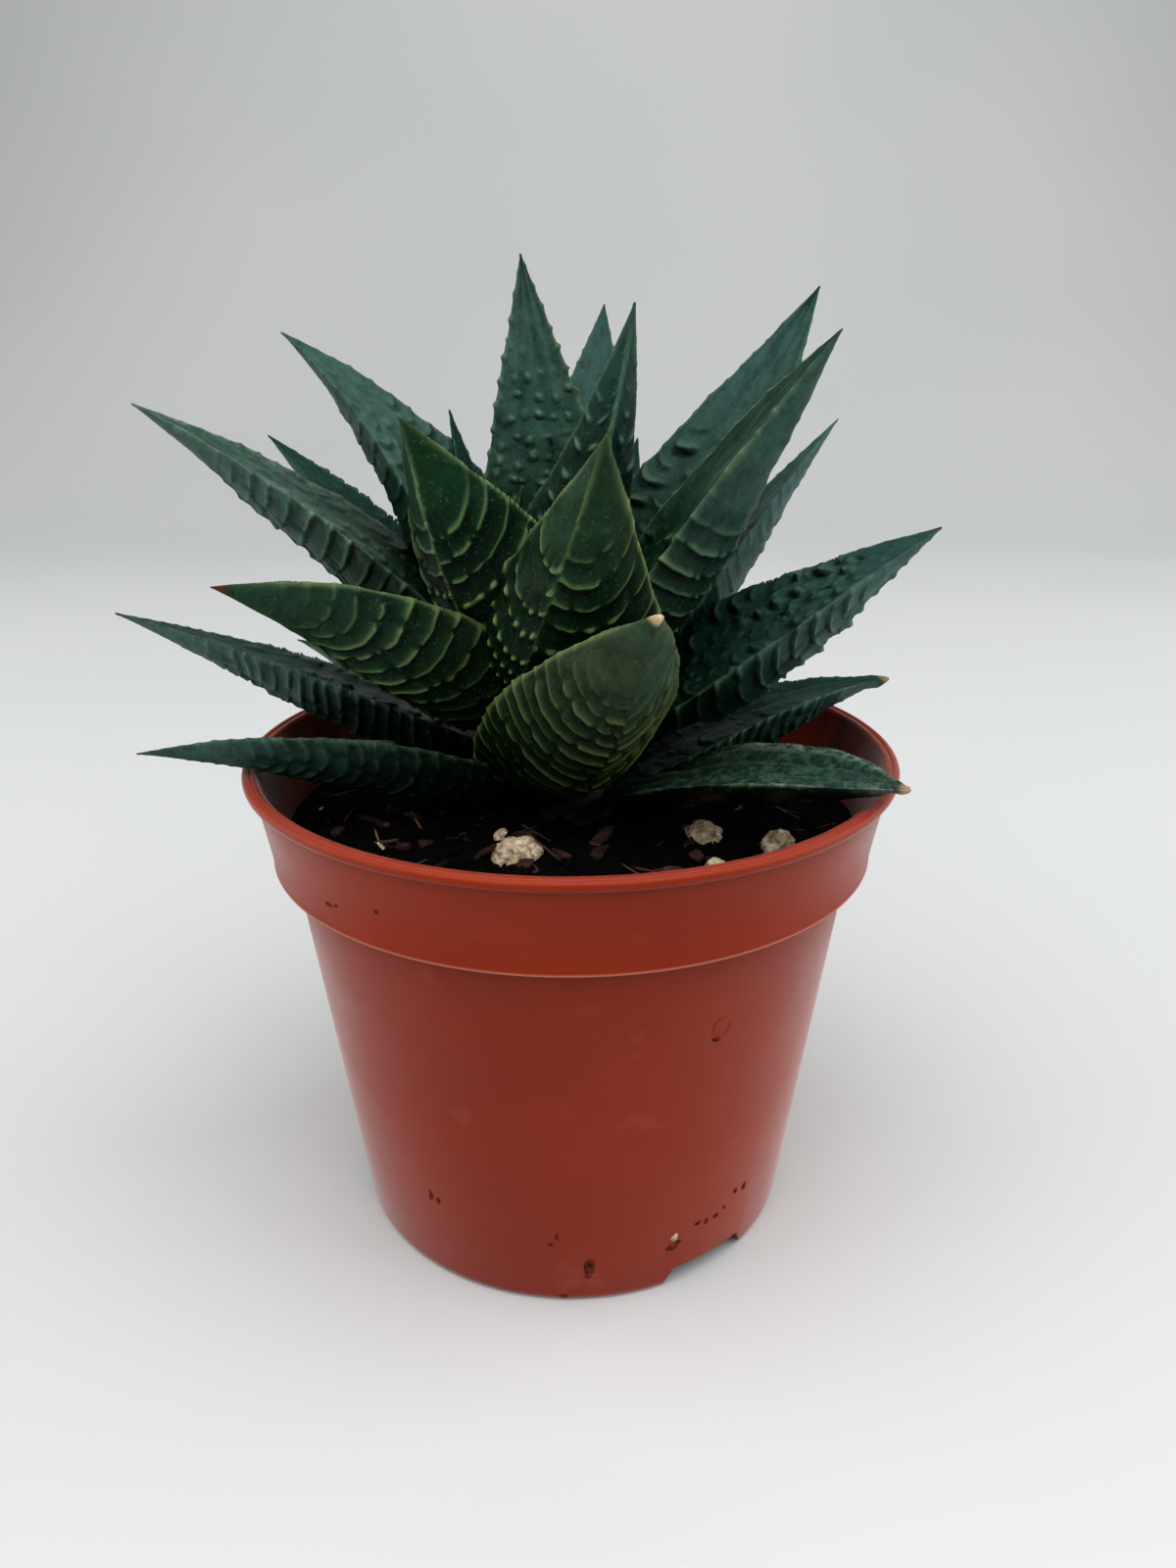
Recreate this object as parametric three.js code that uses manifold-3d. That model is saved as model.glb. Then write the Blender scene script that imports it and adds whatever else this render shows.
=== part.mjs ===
// Potted haworthia: a rosette of stiff, keeled, ridged leaves on a short stem, growing from
// potting soil in a thin moulded nursery pot with three drained foot notches.
//
// Millimetres, +Z up. The origin is on the pot's axis in the plane that the pot stands on.
// Azimuths are in degrees around that axis: 0 points to the front (-Y), 90 to +X.

import * as THREE from 'three';
import { mergeVertices } from 'three/addons/utils/BufferGeometryUtils.js';
import Module from 'manifold-3d';

const wasm = await Module();
wasm.setup();

// Driving dimensions
const clearance = 0.3;

const potHeight = 65.5;
const rimRadius = 42.5;
const rimWidth = 1.9;
const bandTopRadius = 41.3;
const bandFootRadius = 39.3;
const bandFootHeight = 53;
const wallTopRadius = 37.2;
const footRadius = 30.4;
const wall = 0.85;
const floorThickness = 1;
const potSides = 48;

const notchAzimuths = [36, 156, 276];
const notchWidth = 15;
const notchRoofWidth = 11;
const notchHeight = 3;
const notchInnerRadius = 20;
const drainHoleRadius = 2.3;
const drainHoleDistance = 25.5;

const soilLevel = 56.4;
const soilSides = 36;
const soilTopRadii = [38.2, 33, 27, 21, 15, 10, 0];
const grainRoughness = 0.14;
const grainStand = 0.3;

const stemLean = -0.15;
const stemBackLean = 0.03;
const stemFoot = new THREE.Vector3(0.5, 1, 57);
const stemStations = [[42, 3.4], [46, 4.8], [56, 5.2], [70, 4.8], [80, 4.2], [86, 3], [89, 1.2]];
const stemSides = 12;
const leafSeat = 5;
const leafRoot = -0.08;
const plainFullness = 1.38;

const ridgePitch = 4;
const ridgeHeight = 0.45;
const toothHeight = 0.35;
const ridgeSweep = 0.02;
const ridgeStart = 0.05;
const ridgeEnd = 0.88;
const upperHollow = 0.08;
const upperBump = 0.3;
const cheekWidth = 0.55;
const cheekDepth = 0.62;
const roomStations = [leafRoot - 0.06, 0.1, 0.25, 0.4, 0.6, 0.8, 1];
const cutTolerance = 0.12;

// One entry for each leaf, from the heart of the rosette outwards. azimuth and rise give the way
// that the tip lies from the foot, length is foot to tip, width and keel are the section's size,
// bow bends the leaf (below 0 it arches and its tip droops), roll turns its upper face, turn is
// how far around the stem its foot sits from the tip's azimuth, hinge is how far its keel lies to
// one side, as a share of the half width, tip is the half width of a blunt or dried tip, and a
// greater fullness keeps the leaf broad nearer to its tip.
const leaves = [
  { name: 'heart_left', azimuth: 250, rise: 80, length: 17, width: 7, keel: 3.5, foot: 82 },
  { name: 'heart_right', azimuth: 110, rise: 78, length: 19, width: 7, keel: 3.5, foot: 81 },
  { name: 'centre_high', azimuth: 52.2, rise: 71.8, length: 42, width: 14.4, keel: 5.3, bow: 0.04,
    roll: -44.4, foot: 80, turn: -80.6, fullness: 1.11 },
  { name: 'back_left_high', azimuth: 195.1, rise: 73.2, length: 50, width: 20.7, keel: 6,
    bow: -0.026, roll: -5.2, foot: 78.2, turn: -26.1, fullness: 1.02 },
  { name: 'left_front_mid', azimuth: 319.4, rise: 50.1, length: 36.3, width: 24.2, keel: 9.2,
    bow: -0.009, roll: 10.6, foot: 80.3, turn: 34.7, fullness: 1.42 },
  { name: 'sliver', azimuth: 240, rise: 65, length: 37, width: 9, keel: 4, foot: 74 },
  { name: 'back_high', azimuth: 170, rise: 47, length: 59, width: 15, keel: 6, foot: 76 },
  { name: 'right_high', azimuth: 112.5, rise: 48, length: 56.7, width: 23.2, keel: 7.5, bow: 0.02,
    roll: 18.6, foot: 80.2, turn: -2.8 },
  { name: 'front_mid', azimuth: 12.3, rise: 47.9, length: 43.5, width: 25.7, keel: 9, bow: 0.037,
    roll: -23.2, foot: 75, turn: -7.8, hinge: -0.31, fullness: 1.07 },
  { name: 'left_high', azimuth: 259.2, rise: 47.6, length: 49.8, width: 22.3, keel: 9.7,
    bow: -0.084, roll: -13, foot: 80, turn: -35.1, fullness: 1.1 },
  { name: 'right_mid', azimuth: 58.3, rise: 50.5, length: 56.5, width: 18, keel: 8.7, bow: -0.034,
    roll: 29.4, foot: 73.5, turn: -60, fullness: 1.65 },
  { name: 'back_mid', azimuth: 152, rise: 56, length: 40, width: 13, keel: 6, foot: 70 },
  { name: 'back_left_mid', azimuth: 215, rise: 34, length: 47, width: 15, keel: 6.5, bow: -0.03,
    foot: 72 },
  { name: 'left_mid', azimuth: 272.1, rise: 33.5, length: 60.4, width: 18, keel: 7, bow: -0.055,
    roll: -1.5, foot: 75.4, turn: -18, fullness: 1.97 },
  { name: 'right_back_mid', azimuth: 121.3, rise: 38.4, length: 58, width: 14.8, keel: 7,
    bow: -0.02, roll: -14.6, foot: 69.4, turn: -9.4, fullness: 1.08 },
  { name: 'left_front_low', azimuth: 302, rise: 26, length: 49, width: 19.3, keel: 8.9, bow: -0.094,
    roll: 25.2, foot: 69.5, turn: 10.6, fullness: 1.87 },
  { name: 'right_low', azimuth: 81, rise: 28.2, length: 52.8, width: 20, keel: 10.1, bow: -0.015,
    roll: 18.1, foot: 70, turn: 6.5, fullness: 1.4 },
  { name: 'left_back_mid', azimuth: 242, rise: 34, length: 56, width: 16, keel: 7.5, bow: -0.03,
    foot: 72 },
  { name: 'back_right_mid', azimuth: 164, rise: 33, length: 48, width: 15, keel: 7, bow: -0.04,
    foot: 69 },
  { name: 'back_low', azimuth: 182, rise: 24, length: 60, width: 17, keel: 8, bow: -0.05,
    foot: 67 },
  { name: 'right_back_low', azimuth: 148, rise: 13, length: 53, width: 16, keel: 7, bow: -0.05,
    foot: 62 },
  { name: 'back_left_low', azimuth: 207, rise: 11, length: 54, width: 15, keel: 6.5, bow: -0.05,
    foot: 62 },
  { name: 'left_low', azimuth: 262.8, rise: 15.5, length: 64.3, width: 14.4, keel: 6.9, bow: -0.024,
    roll: 7.4, foot: 64, fullness: 1.33 },
  { name: 'front_low', azimuth: 18, rise: 41, length: 42, width: 23, keel: 9.5, bow: -0.04,
    roll: -4, foot: 62, turn: -60, tip: 1.1, fullness: 2.2 },
  { name: 'right_blunt', azimuth: 104.7, rise: 12.5, length: 47.5, width: 14.5, keel: 8.5,
    bow: -0.061, roll: 4.2, foot: 60.7, turn: -4.3, tip: 1.4, fullness: 1.35 },
  { name: 'left_back_low', azimuth: 232, rise: 10, length: 57, width: 14, keel: 6, bow: -0.04,
    foot: 61 },
  { name: 'left_drooping', azimuth: 286.3, rise: 10.1, length: 55.6, width: 13.3, keel: 5.8,
    bow: -0.072, roll: 21.1, foot: 59.4, turn: 11.8, fullness: 1.82 },
  { name: 'right_drooping', azimuth: 57.1, rise: 11, length: 46.9, width: 17.4, keel: 4.8,
    bow: -0.077, roll: 1.1, foot: 59.2, turn: 2.5, tip: 0.9, fullness: 3.37 },
];

// White grains of perlite and flakes of bark that lie half sunk in the soil: place on the
// surface, half sizes along x, y and z, and a turn about the upright.
const grains = [
  { name: 'perlite_large', x: -6.6, y: -15.8, size: [3.1, 2.4, 2.3], turn: 20 },
  { name: 'perlite_square', x: 25.9, y: -14, size: [1.9, 1.7, 1.7], turn: 10 },
  { name: 'perlite_hooked', x: 17, y: -10.2, size: [2.4, 1.8, 1.9], turn: -30 },
  { name: 'perlite_small_right', x: 17.5, y: -19.5, size: [1.2, 1.1, 1.1], turn: 0 },
  { name: 'perlite_front', x: -2.4, y: -26.5, size: [1.6, 1.3, 1.5], turn: 35 },
  { name: 'perlite_small_left', x: -8.8, y: -10.4, size: [1, 0.9, 1], turn: 15 },
  { name: 'perlite_back', x: -16, y: 26, size: [2.2, 1.7, 1.7], turn: 60 },
  { name: 'bark_flake_front', x: 12.5, y: -23, size: [2.6, 1.3, 1.1], turn: -18, bark: true },
  { name: 'bark_flake_back', x: 12, y: 27, size: [3.4, 1.5, 1.2], turn: 25, bark: true },
];

// Materials
const plastic = new THREE.MeshStandardMaterial({ color: '#a4483a', roughness: 0.45, metalness: 0 });
const earth = new THREE.MeshStandardMaterial({ color: '#1d1616', roughness: 0.95, metalness: 0 });
const flesh = new THREE.MeshStandardMaterial({ color: '#5d6b45', roughness: 0.6, metalness: 0 });
const perlite = new THREE.MeshStandardMaterial({ color: '#d9d3c4', roughness: 0.9, metalness: 0 });
const bark = new THREE.MeshStandardMaterial({ color: '#4a2a1e', roughness: 0.9, metalness: 0 });
const leafGreens = ['#24463a', '#2b4c34', '#35552f'];

// A closed geometry as a solid to join and cut: shared vertices merged, empty triangles dropped
function toSolid(geometry) {
  const bare = geometry.clone();
  bare.deleteAttribute('normal');
  bare.deleteAttribute('uv');
  const welded = mergeVertices(bare, 1e-5);
  const corners = welded.index.array;
  const kept = [];
  for (let i = 0; i < corners.length; i += 3) {
    const [a, b, c] = corners.subarray(i, i + 3);
    if (a !== b && b !== c && c !== a) kept.push(a, b, c);
  }
  const vertProperties = new Float32Array(welded.attributes.position.array);
  const triVerts = new Uint32Array(kept);
  return new wasm.Manifold(new wasm.Mesh({ numProp: 3, vertProperties, triVerts }));
}

function toGeometry(solid) {
  const mesh = solid.getMesh();
  const geometry = new THREE.BufferGeometry();
  geometry.setAttribute('position', new THREE.BufferAttribute(mesh.vertProperties, 3));
  geometry.setIndex(new THREE.BufferAttribute(mesh.triVerts, 1));
  geometry.computeVertexNormals();
  return geometry;
}

// The largest body of a solid, without the loose scraps that a cut can leave
function mainBody(solid) {
  const bodies = solid.decompose();
  return bodies.reduce((best, body) => (body.volume() > best.volume() ? body : best));
}

const plant = new THREE.Group();

function addPiece(name, solid, material) {
  const mesh = new THREE.Mesh(toGeometry(solid), material);
  mesh.name = name;
  plant.add(mesh);
}

// Unit vector on the level at an azimuth
function heading(azimuth) {
  const angle = THREE.MathUtils.degToRad(azimuth);
  return new THREE.Vector3(Math.sin(angle), -Math.cos(angle), 0);
}

// A solid of revolution from [radius, height] points that run outwards, up and back in
function turned(outline, sides) {
  const points = outline.map(([radius, height]) => new THREE.Vector2(radius, height));
  return new THREE.LatheGeometry(points, sides).rotateX(Math.PI / 2);
}

// A solid through closed rings of equal count that run anticlockwise seen from the end, closed
// at the start and the end by a fan about the given points
function loft(rings, startPoint, endPoint) {
  const count = rings[0].length;
  const points = [...rings.flat(), startPoint, endPoint];
  const start = points.length - 2;
  const end = points.length - 1;
  const lastRing = (rings.length - 1) * count;
  const index = [];
  for (let corner = 0; corner < count; corner += 1) {
    const next = (corner + 1) % count;
    for (let ring = 0; ring < lastRing; ring += count) {
      const [a, b] = [ring + corner, ring + next];
      index.push(a, b, a + count, b, b + count, a + count);
    }
    index.push(start, next, corner);
    index.push(end, lastRing + corner, lastRing + next);
  }
  const geometry = new THREE.BufferGeometry().setFromPoints(points);
  geometry.setIndex(index);
  return toSolid(geometry);
}

// Pot: a thin turned shell with a rolled rim, a stacking band, a tapered wall and a floor
const bandHeight = potHeight - 1.5;
const ledgeHeight = bandFootHeight + 1;
const potOutside = [
  [0, 0],
  [footRadius - 0.7, 0],
  [footRadius, 0.7],
  [wallTopRadius, bandFootHeight],
  [bandFootRadius - 0.5, bandFootHeight],
  [bandFootRadius + 0.2, bandFootHeight + 0.9],
  [bandTopRadius, bandHeight],
  [rimRadius - 0.3, bandHeight + 0.2],
  [rimRadius, potHeight - 0.7],
  [rimRadius - 0.3, potHeight],
];
const potInside = [
  [rimRadius - rimWidth, potHeight],
  [bandTopRadius - wall, bandHeight - 0.4],
  [bandFootRadius - wall, ledgeHeight],
  [wallTopRadius - wall, ledgeHeight - 0.3],
  [footRadius - wall, floorThickness],
  [0, floorThickness],
];

// The hollow of a foot notch, a prism with sloped ends, its walls moved out by grow
function notchHollow(azimuth, grow) {
  const half = notchWidth / 2 + grow;
  const roofHalf = notchRoofWidth / 2 + grow;
  const section = new THREE.Shape();
  section.moveTo(-half, -1);
  section.lineTo(half, -1);
  section.lineTo(roofHalf, notchHeight + grow);
  section.lineTo(-roofHalf, notchHeight + grow);
  section.closePath();
  const depth = footRadius + 3 - notchInnerRadius + grow;
  const geometry = new THREE.ExtrudeGeometry(section, { depth, bevelEnabled: false });
  geometry.rotateX(Math.PI / 2);
  geometry.translate(0, grow - notchInnerRadius, 0);
  geometry.rotateZ(THREE.MathUtils.degToRad(azimuth));
  return toSolid(geometry);
}

function drainHole(azimuth) {
  const geometry = new THREE.CylinderGeometry(drainHoleRadius, drainHoleRadius, 4, 16);
  geometry.rotateX(Math.PI / 2);
  const place = heading(azimuth).multiplyScalar(drainHoleDistance);
  geometry.translate(place.x, place.y, notchHeight);
  return toSolid(geometry);
}

const potEnvelope = toSolid(turned([...potOutside, [0, potHeight]], potSides));
let pot = toSolid(turned([...potOutside, ...potInside], potSides));
for (const azimuth of notchAzimuths) {
  pot = pot.add(notchHollow(azimuth, wall).intersect(potEnvelope));
  pot = pot.subtract(notchHollow(azimuth, 0)).subtract(drainHole(azimuth));
}
addPiece('pot', pot, plastic);

// Stem: short, leaning a little left, hidden by the leaves; it stands in a plain hole in the soil
function stemMiddle(height) {
  const rise = height - stemFoot.z;
  return new THREE.Vector3(stemFoot.x + stemLean * rise, stemFoot.y + stemBackLean * rise, height);
}

function stemSolid(grow) {
  const rings = stemStations.map(([height, radius]) => {
    const middle = stemMiddle(height);
    return Array.from({ length: stemSides }, (_, side) =>
      heading((side * 360) / stemSides).multiplyScalar(radius + grow).add(middle));
  });
  const [lowest] = stemStations.at(0);
  const [highest] = stemStations.at(-1);
  return loft(rings, stemMiddle(lowest - grow), stemMiddle(highest + grow + 1));
}

const stemClear = stemSolid(clearance);
addPiece('stem', stemSolid(0), flesh);

// Soil: fills the pot to just under the rim, with a lumpy top that sinks towards the wall
function soilRise(x, y) {
  const distance = Math.hypot(x, y);
  const lumps = 0.5 * Math.sin(0.42 * x + 1.3) * Math.cos(0.37 * y - 0.4);
  const crumbs = 0.3 * Math.sin(0.9 * x - 0.7 * y);
  const edgeSink = 1.1 * THREE.MathUtils.smoothstep(distance, 29, 38);
  const crownSink = 0.6 * Math.exp(-((distance / 10) ** 2));
  return lumps + crumbs - edgeSink - crownSink;
}

const soilSide = [
  [0, floorThickness + clearance],
  [footRadius - wall - clearance, floorThickness + clearance],
  [wallTopRadius - wall - clearance, ledgeHeight],
  [bandFootRadius - wall - clearance, ledgeHeight + clearance],
];
const soilTop = soilTopRadii.map((radius) => [radius, soilLevel]);
const soilGeometry = turned([...soilSide, ...soilTop], soilSides);
const soilPoints = soilGeometry.attributes.position;
for (let i = 0; i < soilPoints.count; i += 1) {
  const onTop = i % (soilSide.length + soilTop.length) >= soilSide.length;
  const rise = onTop ? soilRise(soilPoints.getX(i), soilPoints.getY(i)) : 0;
  soilPoints.setZ(i, soilPoints.getZ(i) + rise);
}
let soil = toSolid(soilGeometry).subtract(stemClear);
for (const azimuth of notchAzimuths) {
  soil = soil.subtract(notchHollow(azimuth, wall + clearance));
}

// Grains: angular lumps half sunk in sockets in the soil
function grainSolid(grain, grow) {
  const geometry = new THREE.IcosahedronGeometry(1, 1);
  const points = geometry.attributes.position;
  const point = new THREE.Vector3();
  for (let i = 0; i < points.count; i += 1) {
    point.fromBufferAttribute(points, i);
    const lump = Math.sin(3 * point.x + grain.x) * Math.cos(3 * point.y + grain.y);
    point.multiplyScalar(1 + grainRoughness * lump);
    points.setXYZ(i, point.x, point.y, point.z);
  }
  const [x, y, z] = grain.size.map((half) => half + grow);
  geometry.scale(x, y, z);
  geometry.rotateZ(THREE.MathUtils.degToRad(grain.turn));
  const surface = soilLevel + soilRise(grain.x, grain.y);
  geometry.translate(grain.x, grain.y, surface + grainStand * grain.size[2]);
  return toSolid(geometry);
}

for (const grain of grains) {
  soil = soil.subtract(grainSolid(grain, clearance + 0.1));
  addPiece(grain.name, grainSolid(grain, 0), grain.bark ? bark : perlite);
}
addPiece('soil', mainBody(soil), earth);

// Leaves: each is lofted along a curved middle line, three-sided with a flat or hollow upper
// face and a deep keel below. Raised ridges cross the keeled side and end in teeth on the two
// margins and the keel.
function leafLine(leaf) {
  const outward = heading(leaf.azimuth);
  const side = heading(leaf.azimuth + 90);
  const rise = THREE.MathUtils.degToRad(leaf.rise);
  const middle = stemMiddle(leaf.foot);
  const foot = heading(leaf.azimuth + (leaf.turn ?? 0)).multiplyScalar(leafSeat).add(middle);
  const tip = new THREE.Vector3(0, 0, leaf.length * Math.sin(rise));
  tip.addScaledVector(outward, leaf.length * Math.cos(rise)).add(middle);
  const below = new THREE.Vector3(0, 0, -Math.cos(rise)).addScaledVector(outward, Math.sin(rise));
  const knee = foot.clone().add(tip).multiplyScalar(0.5);
  knee.addScaledVector(below, 2 * (leaf.bow ?? 0) * leaf.length);
  return { line: new THREE.QuadraticBezierCurve3(foot, knee, tip), side };
}

// Half the width of a leaf, and the depth of its keel, at a share of its length from foot to tip
function halfWidth(leaf, share) {
  const swell = 0.72 + 0.28 * Math.sin((Math.PI / 2) * Math.min(share / 0.25, 1));
  const taper = 1 - Math.max((share - 0.25) / 0.75, 0) ** (leaf.fullness ?? plainFullness);
  return Math.max((leaf.width / 2) * swell * taper, leaf.tip ?? 0);
}

function keelDepth(leaf, share) {
  const swell = 0.35 + 0.65 * Math.sin((Math.PI / 2) * Math.min(share / 0.35, 1));
  const taper = 1 - Math.max((share - 0.35) / 0.65, 0) ** (leaf.fullness ?? plainFullness);
  return Math.max(leaf.keel * swell * taper, leaf.tip ?? 0);
}

// One closed section of a leaf. Corners are [across, up, sweep]: sweep sets how far the corner
// lies back towards the foot.
function leafRing(leaf, { line, side }, share, corners) {
  const point = line.getPoint(share);
  const along = line.getTangent(THREE.MathUtils.clamp(share, 0, 1));
  const across = side.clone().addScaledVector(along, -side.dot(along)).normalize();
  const up = new THREE.Vector3().crossVectors(along, across);
  const roll = THREE.MathUtils.degToRad(leaf.roll ?? 0);
  across.applyAxisAngle(along, roll);
  up.applyAxisAngle(along, roll);
  return corners.map(([x, y, sweep]) => point.clone()
    .addScaledVector(across, x)
    .addScaledVector(up, y)
    .addScaledVector(along, -sweep * leaf.length));
}

function leafSolid(leaf) {
  const curve = leafLine(leaf);
  const ringAt = (share, crest) => {
    const at = Math.max(share, 0);
    const half = halfWidth(leaf, at) + crest * toothHeight;
    const keel = keelDepth(leaf, at) + crest * ridgeHeight;
    const hinge = (leaf.hinge ?? 0) * half;
    const cheekShift = (1 - cheekWidth) * hinge;
    return leafRing(leaf, curve, share, [
      [half, 0, 0],
      [0, crest * upperBump - upperHollow * half, 0],
      [-half, 0, 0],
      [cheekShift - cheekWidth * half, -cheekDepth * keel, ridgeSweep / 2],
      [hinge, -keel, ridgeSweep],
      [cheekShift + cheekWidth * half, -cheekDepth * keel, ridgeSweep / 2],
    ]);
  };
  const ridges = Math.round(((ridgeEnd - ridgeStart) * leaf.length) / ridgePitch);
  const step = (ridgeEnd - ridgeStart) / ridges;
  const rings = [ringAt(leafRoot, 0), ringAt(ridgeStart, 0)];
  for (let ridge = 0; ridge < ridges; ridge += 1) {
    const trough = ridgeStart + ridge * step;
    rings.push(ringAt(trough + step / 2, 1), ringAt(trough + step, 0));
  }
  rings.push(ringAt(0.96, 0));
  return loft(rings, curve.line.getPoint(leafRoot), curve.line.getPoint(1));
}

// The room that a leaf needs: its plain form with clearance all round, used to cut its neighbours
function leafRoom(leaf) {
  const curve = leafLine(leaf);
  const grow = clearance + ridgeHeight;
  const rings = roomStations.map((share) => {
    const at = THREE.MathUtils.clamp(share, 0, 1);
    const half = halfWidth(leaf, at) + grow;
    const keel = keelDepth(leaf, at) + grow;
    const cheek = cheekWidth * half + grow / 2;
    const hinge = (leaf.hinge ?? 0) * half;
    const cheekShift = (1 - cheekWidth) * hinge;
    return leafRing(leaf, curve, share, [
      [half, grow, 0],
      [-half, grow, 0],
      [-half, -grow, 0],
      [cheekShift - cheek, -cheekDepth * keel - grow / 2, ridgeSweep / 2],
      [hinge, -keel - grow / 2, ridgeSweep],
      [cheekShift + cheek, -cheekDepth * keel - grow / 2, ridgeSweep / 2],
      [half, -grow, 0],
    ]);
  });
  return loft(rings, curve.line.getPoint(roomStations[0]), curve.line.getPoint(1.03));
}

const rooms = [];
leaves.forEach((leaf, index) => {
  let solid = leafSolid(leaf).subtract(stemClear);
  for (const room of rooms) {
    if (!solid.intersect(room).isEmpty()) solid = mainBody(solid.subtract(room));
  }
  rooms.push(leafRoom(leaf));
  const color = leafGreens[index % leafGreens.length];
  const skin = new THREE.MeshStandardMaterial({ color, roughness: 0.5, metalness: 0 });
  addPiece(`leaf_${leaf.name}`, mainBody(solid.simplify(cutTolerance)), skin);
});

export default plant;
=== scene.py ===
"""Potted haworthia: a rosette of stiff, keeled, ridged leaves on a short stem, in potting soil
in a thin moulded nursery pot. Sizes are in millimetres, turned to metres by MM."""

import math

import bpy
import numpy as np
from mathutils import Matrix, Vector, noise


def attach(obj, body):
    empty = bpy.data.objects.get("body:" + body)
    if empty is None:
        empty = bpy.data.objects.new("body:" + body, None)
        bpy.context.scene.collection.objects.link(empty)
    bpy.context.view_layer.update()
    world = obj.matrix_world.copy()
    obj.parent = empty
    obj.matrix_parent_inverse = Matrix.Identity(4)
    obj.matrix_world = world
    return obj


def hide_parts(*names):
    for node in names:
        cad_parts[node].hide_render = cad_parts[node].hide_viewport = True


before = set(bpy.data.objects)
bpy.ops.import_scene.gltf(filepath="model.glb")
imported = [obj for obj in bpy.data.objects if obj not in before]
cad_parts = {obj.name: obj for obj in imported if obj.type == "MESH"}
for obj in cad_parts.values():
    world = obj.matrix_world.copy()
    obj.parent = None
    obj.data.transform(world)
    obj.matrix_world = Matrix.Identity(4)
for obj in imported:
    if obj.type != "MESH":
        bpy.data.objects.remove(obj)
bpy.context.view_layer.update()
bpy.ops.object.select_all(action="DESELECT")

MM = 0.001


# Table and light: a white card sweep under broad soft lamps, seen from a little above the rim.
# The card is matte, so it shows soft shadows and no mirror image. It, the lamps and their places
# are given in metres.

def linear(colour):
    """An sRGB colour such as "#8a4038" as linear red, green, blue and full alpha."""
    shares = [int(colour[i:i + 2], 16) / 255 for i in (1, 3, 5)]
    return [s / 12.92 if s <= 0.04045 else ((s + 0.055) / 1.055) ** 2.4 for s in shares] + [1.0]


def feed(material, socket, value):
    """Gives a socket a number, an sRGB colour, or the output of another node."""
    if isinstance(value, bpy.types.NodeSocket):
        material.node_tree.links.new(value, socket)
    else:
        socket.default_value = linear(value) if isinstance(value, str) else value


def add_node(material, kind, inputs=(), stops=(), out=0, **settings):
    """Adds a node and gives its output named out. inputs holds what feeds each socket, and stops
    the places and colours of a colour ramp."""
    node = material.node_tree.nodes.new("ShaderNode" + kind)
    for name, value in settings.items():
        setattr(node, name, value)
    for socket, value in dict(inputs).items():
        feed(material, node.inputs[socket], value)
    for number, (place, colour) in enumerate(stops):
        elements = node.color_ramp.elements
        element = elements[number] if number < 2 else elements.new(place)
        element.position = place
        element.color = linear(colour)
    return node.outputs[out]


def set_shader(material, **inputs):
    """Feeds sockets of a material's own shader. A space in a socket's name is a _ here."""
    shader = material.node_tree.nodes["Principled BSDF"]
    for name, value in inputs.items():
        feed(material, shader.inputs[name.replace("_", " ")], value)


def new_material(name, **values):
    material = bpy.data.materials.new(name)
    material.use_nodes = True
    set_shader(material, **values)
    return material


def marks_of(size):
    """The scale of a noise whose marks are size mm across."""
    return 1 / (size * MM)


def mottled(name, pattern, stops, bump=(), **values):
    """A material whose colour follows one noise, and its relief too where bump gives a strength
    and a depth in mm."""
    material = new_material(name, **values)
    where = add_node(material, "TexCoord", out="Object")
    marks = add_node(material, "TexNoise", {"Vector": where, **pattern})
    set_shader(material, Base_Color=add_node(material, "ValToRGB", {"Fac": marks}, stops))
    if bump:
        relief = {"Height": marks, "Strength": bump[0], "Distance": bump[1] * MM}
        set_shader(material, Normal=add_node(material, "Bump", relief))
    return material


CAMERA_PLACE = (2.16 * MM, -148.2 * MM, 116.5 * MM)
CAMERA_TILT = math.radians(69.06)

bpy.ops.object.camera_add(location=CAMERA_PLACE, rotation=(CAMERA_TILT, 0, 0))
camera = bpy.context.object
camera.data.lens = 27
camera.data.sensor_width = 36
camera.data.clip_start = 5 * MM
bpy.context.scene.camera = camera
bpy.context.scene.view_settings.view_transform = "Standard"
bpy.context.scene.view_settings.look = "Medium High Contrast"

# Lamps as (name, place, aimed at, width, height, watts)
for name, place, target, width, height, watts in (
    ("lamp_above", (0.0, -0.34, 0.80), (0, 0, 0.05), 1.2, 1.0, 9.5),
    ("lamp_left", (-0.70, 0.0, 0.35), (0, 0, 0.05), 0.9, 0.7, 3.0),
    ("lamp_right", (0.70, 0.0, 0.35), (0, 0, 0.05), 0.9, 0.7, 3.9),
    ("lamp_wall", (0.2, 0.45, 1.10), (0.2, 1.0, 0.25), 1.6, 0.4, 3.2),
):
    bpy.ops.object.light_add(type="AREA", location=place)
    lamp = bpy.context.object
    lamp.name = name
    lamp.rotation_euler = (Vector(target) - Vector(place)).to_track_quat("-Z", "Y").to_euler()
    lamp.data.shape = "RECTANGLE"
    lamp.data.size = width
    lamp.data.size_y = height
    lamp.data.energy = watts

world = bpy.data.worlds.new("studio_air")
world.use_nodes = True
world.node_tree.nodes["Background"].inputs["Color"].default_value = linear("#e4e8ea")
world.node_tree.nodes["Background"].inputs["Strength"].default_value = 0.1
bpy.context.scene.world = world

# The card: a flat sheet whose far side is drawn up in steps into a rounded wall. HAIR tells its
# far edge from the others.
CARD_HALF = 3.0
CARD_BACK = 0.55
CARD_BEND = 0.5
CARD_STEPS = 16
CARD_WALL = 2.0
HAIR = 1e-4

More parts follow.
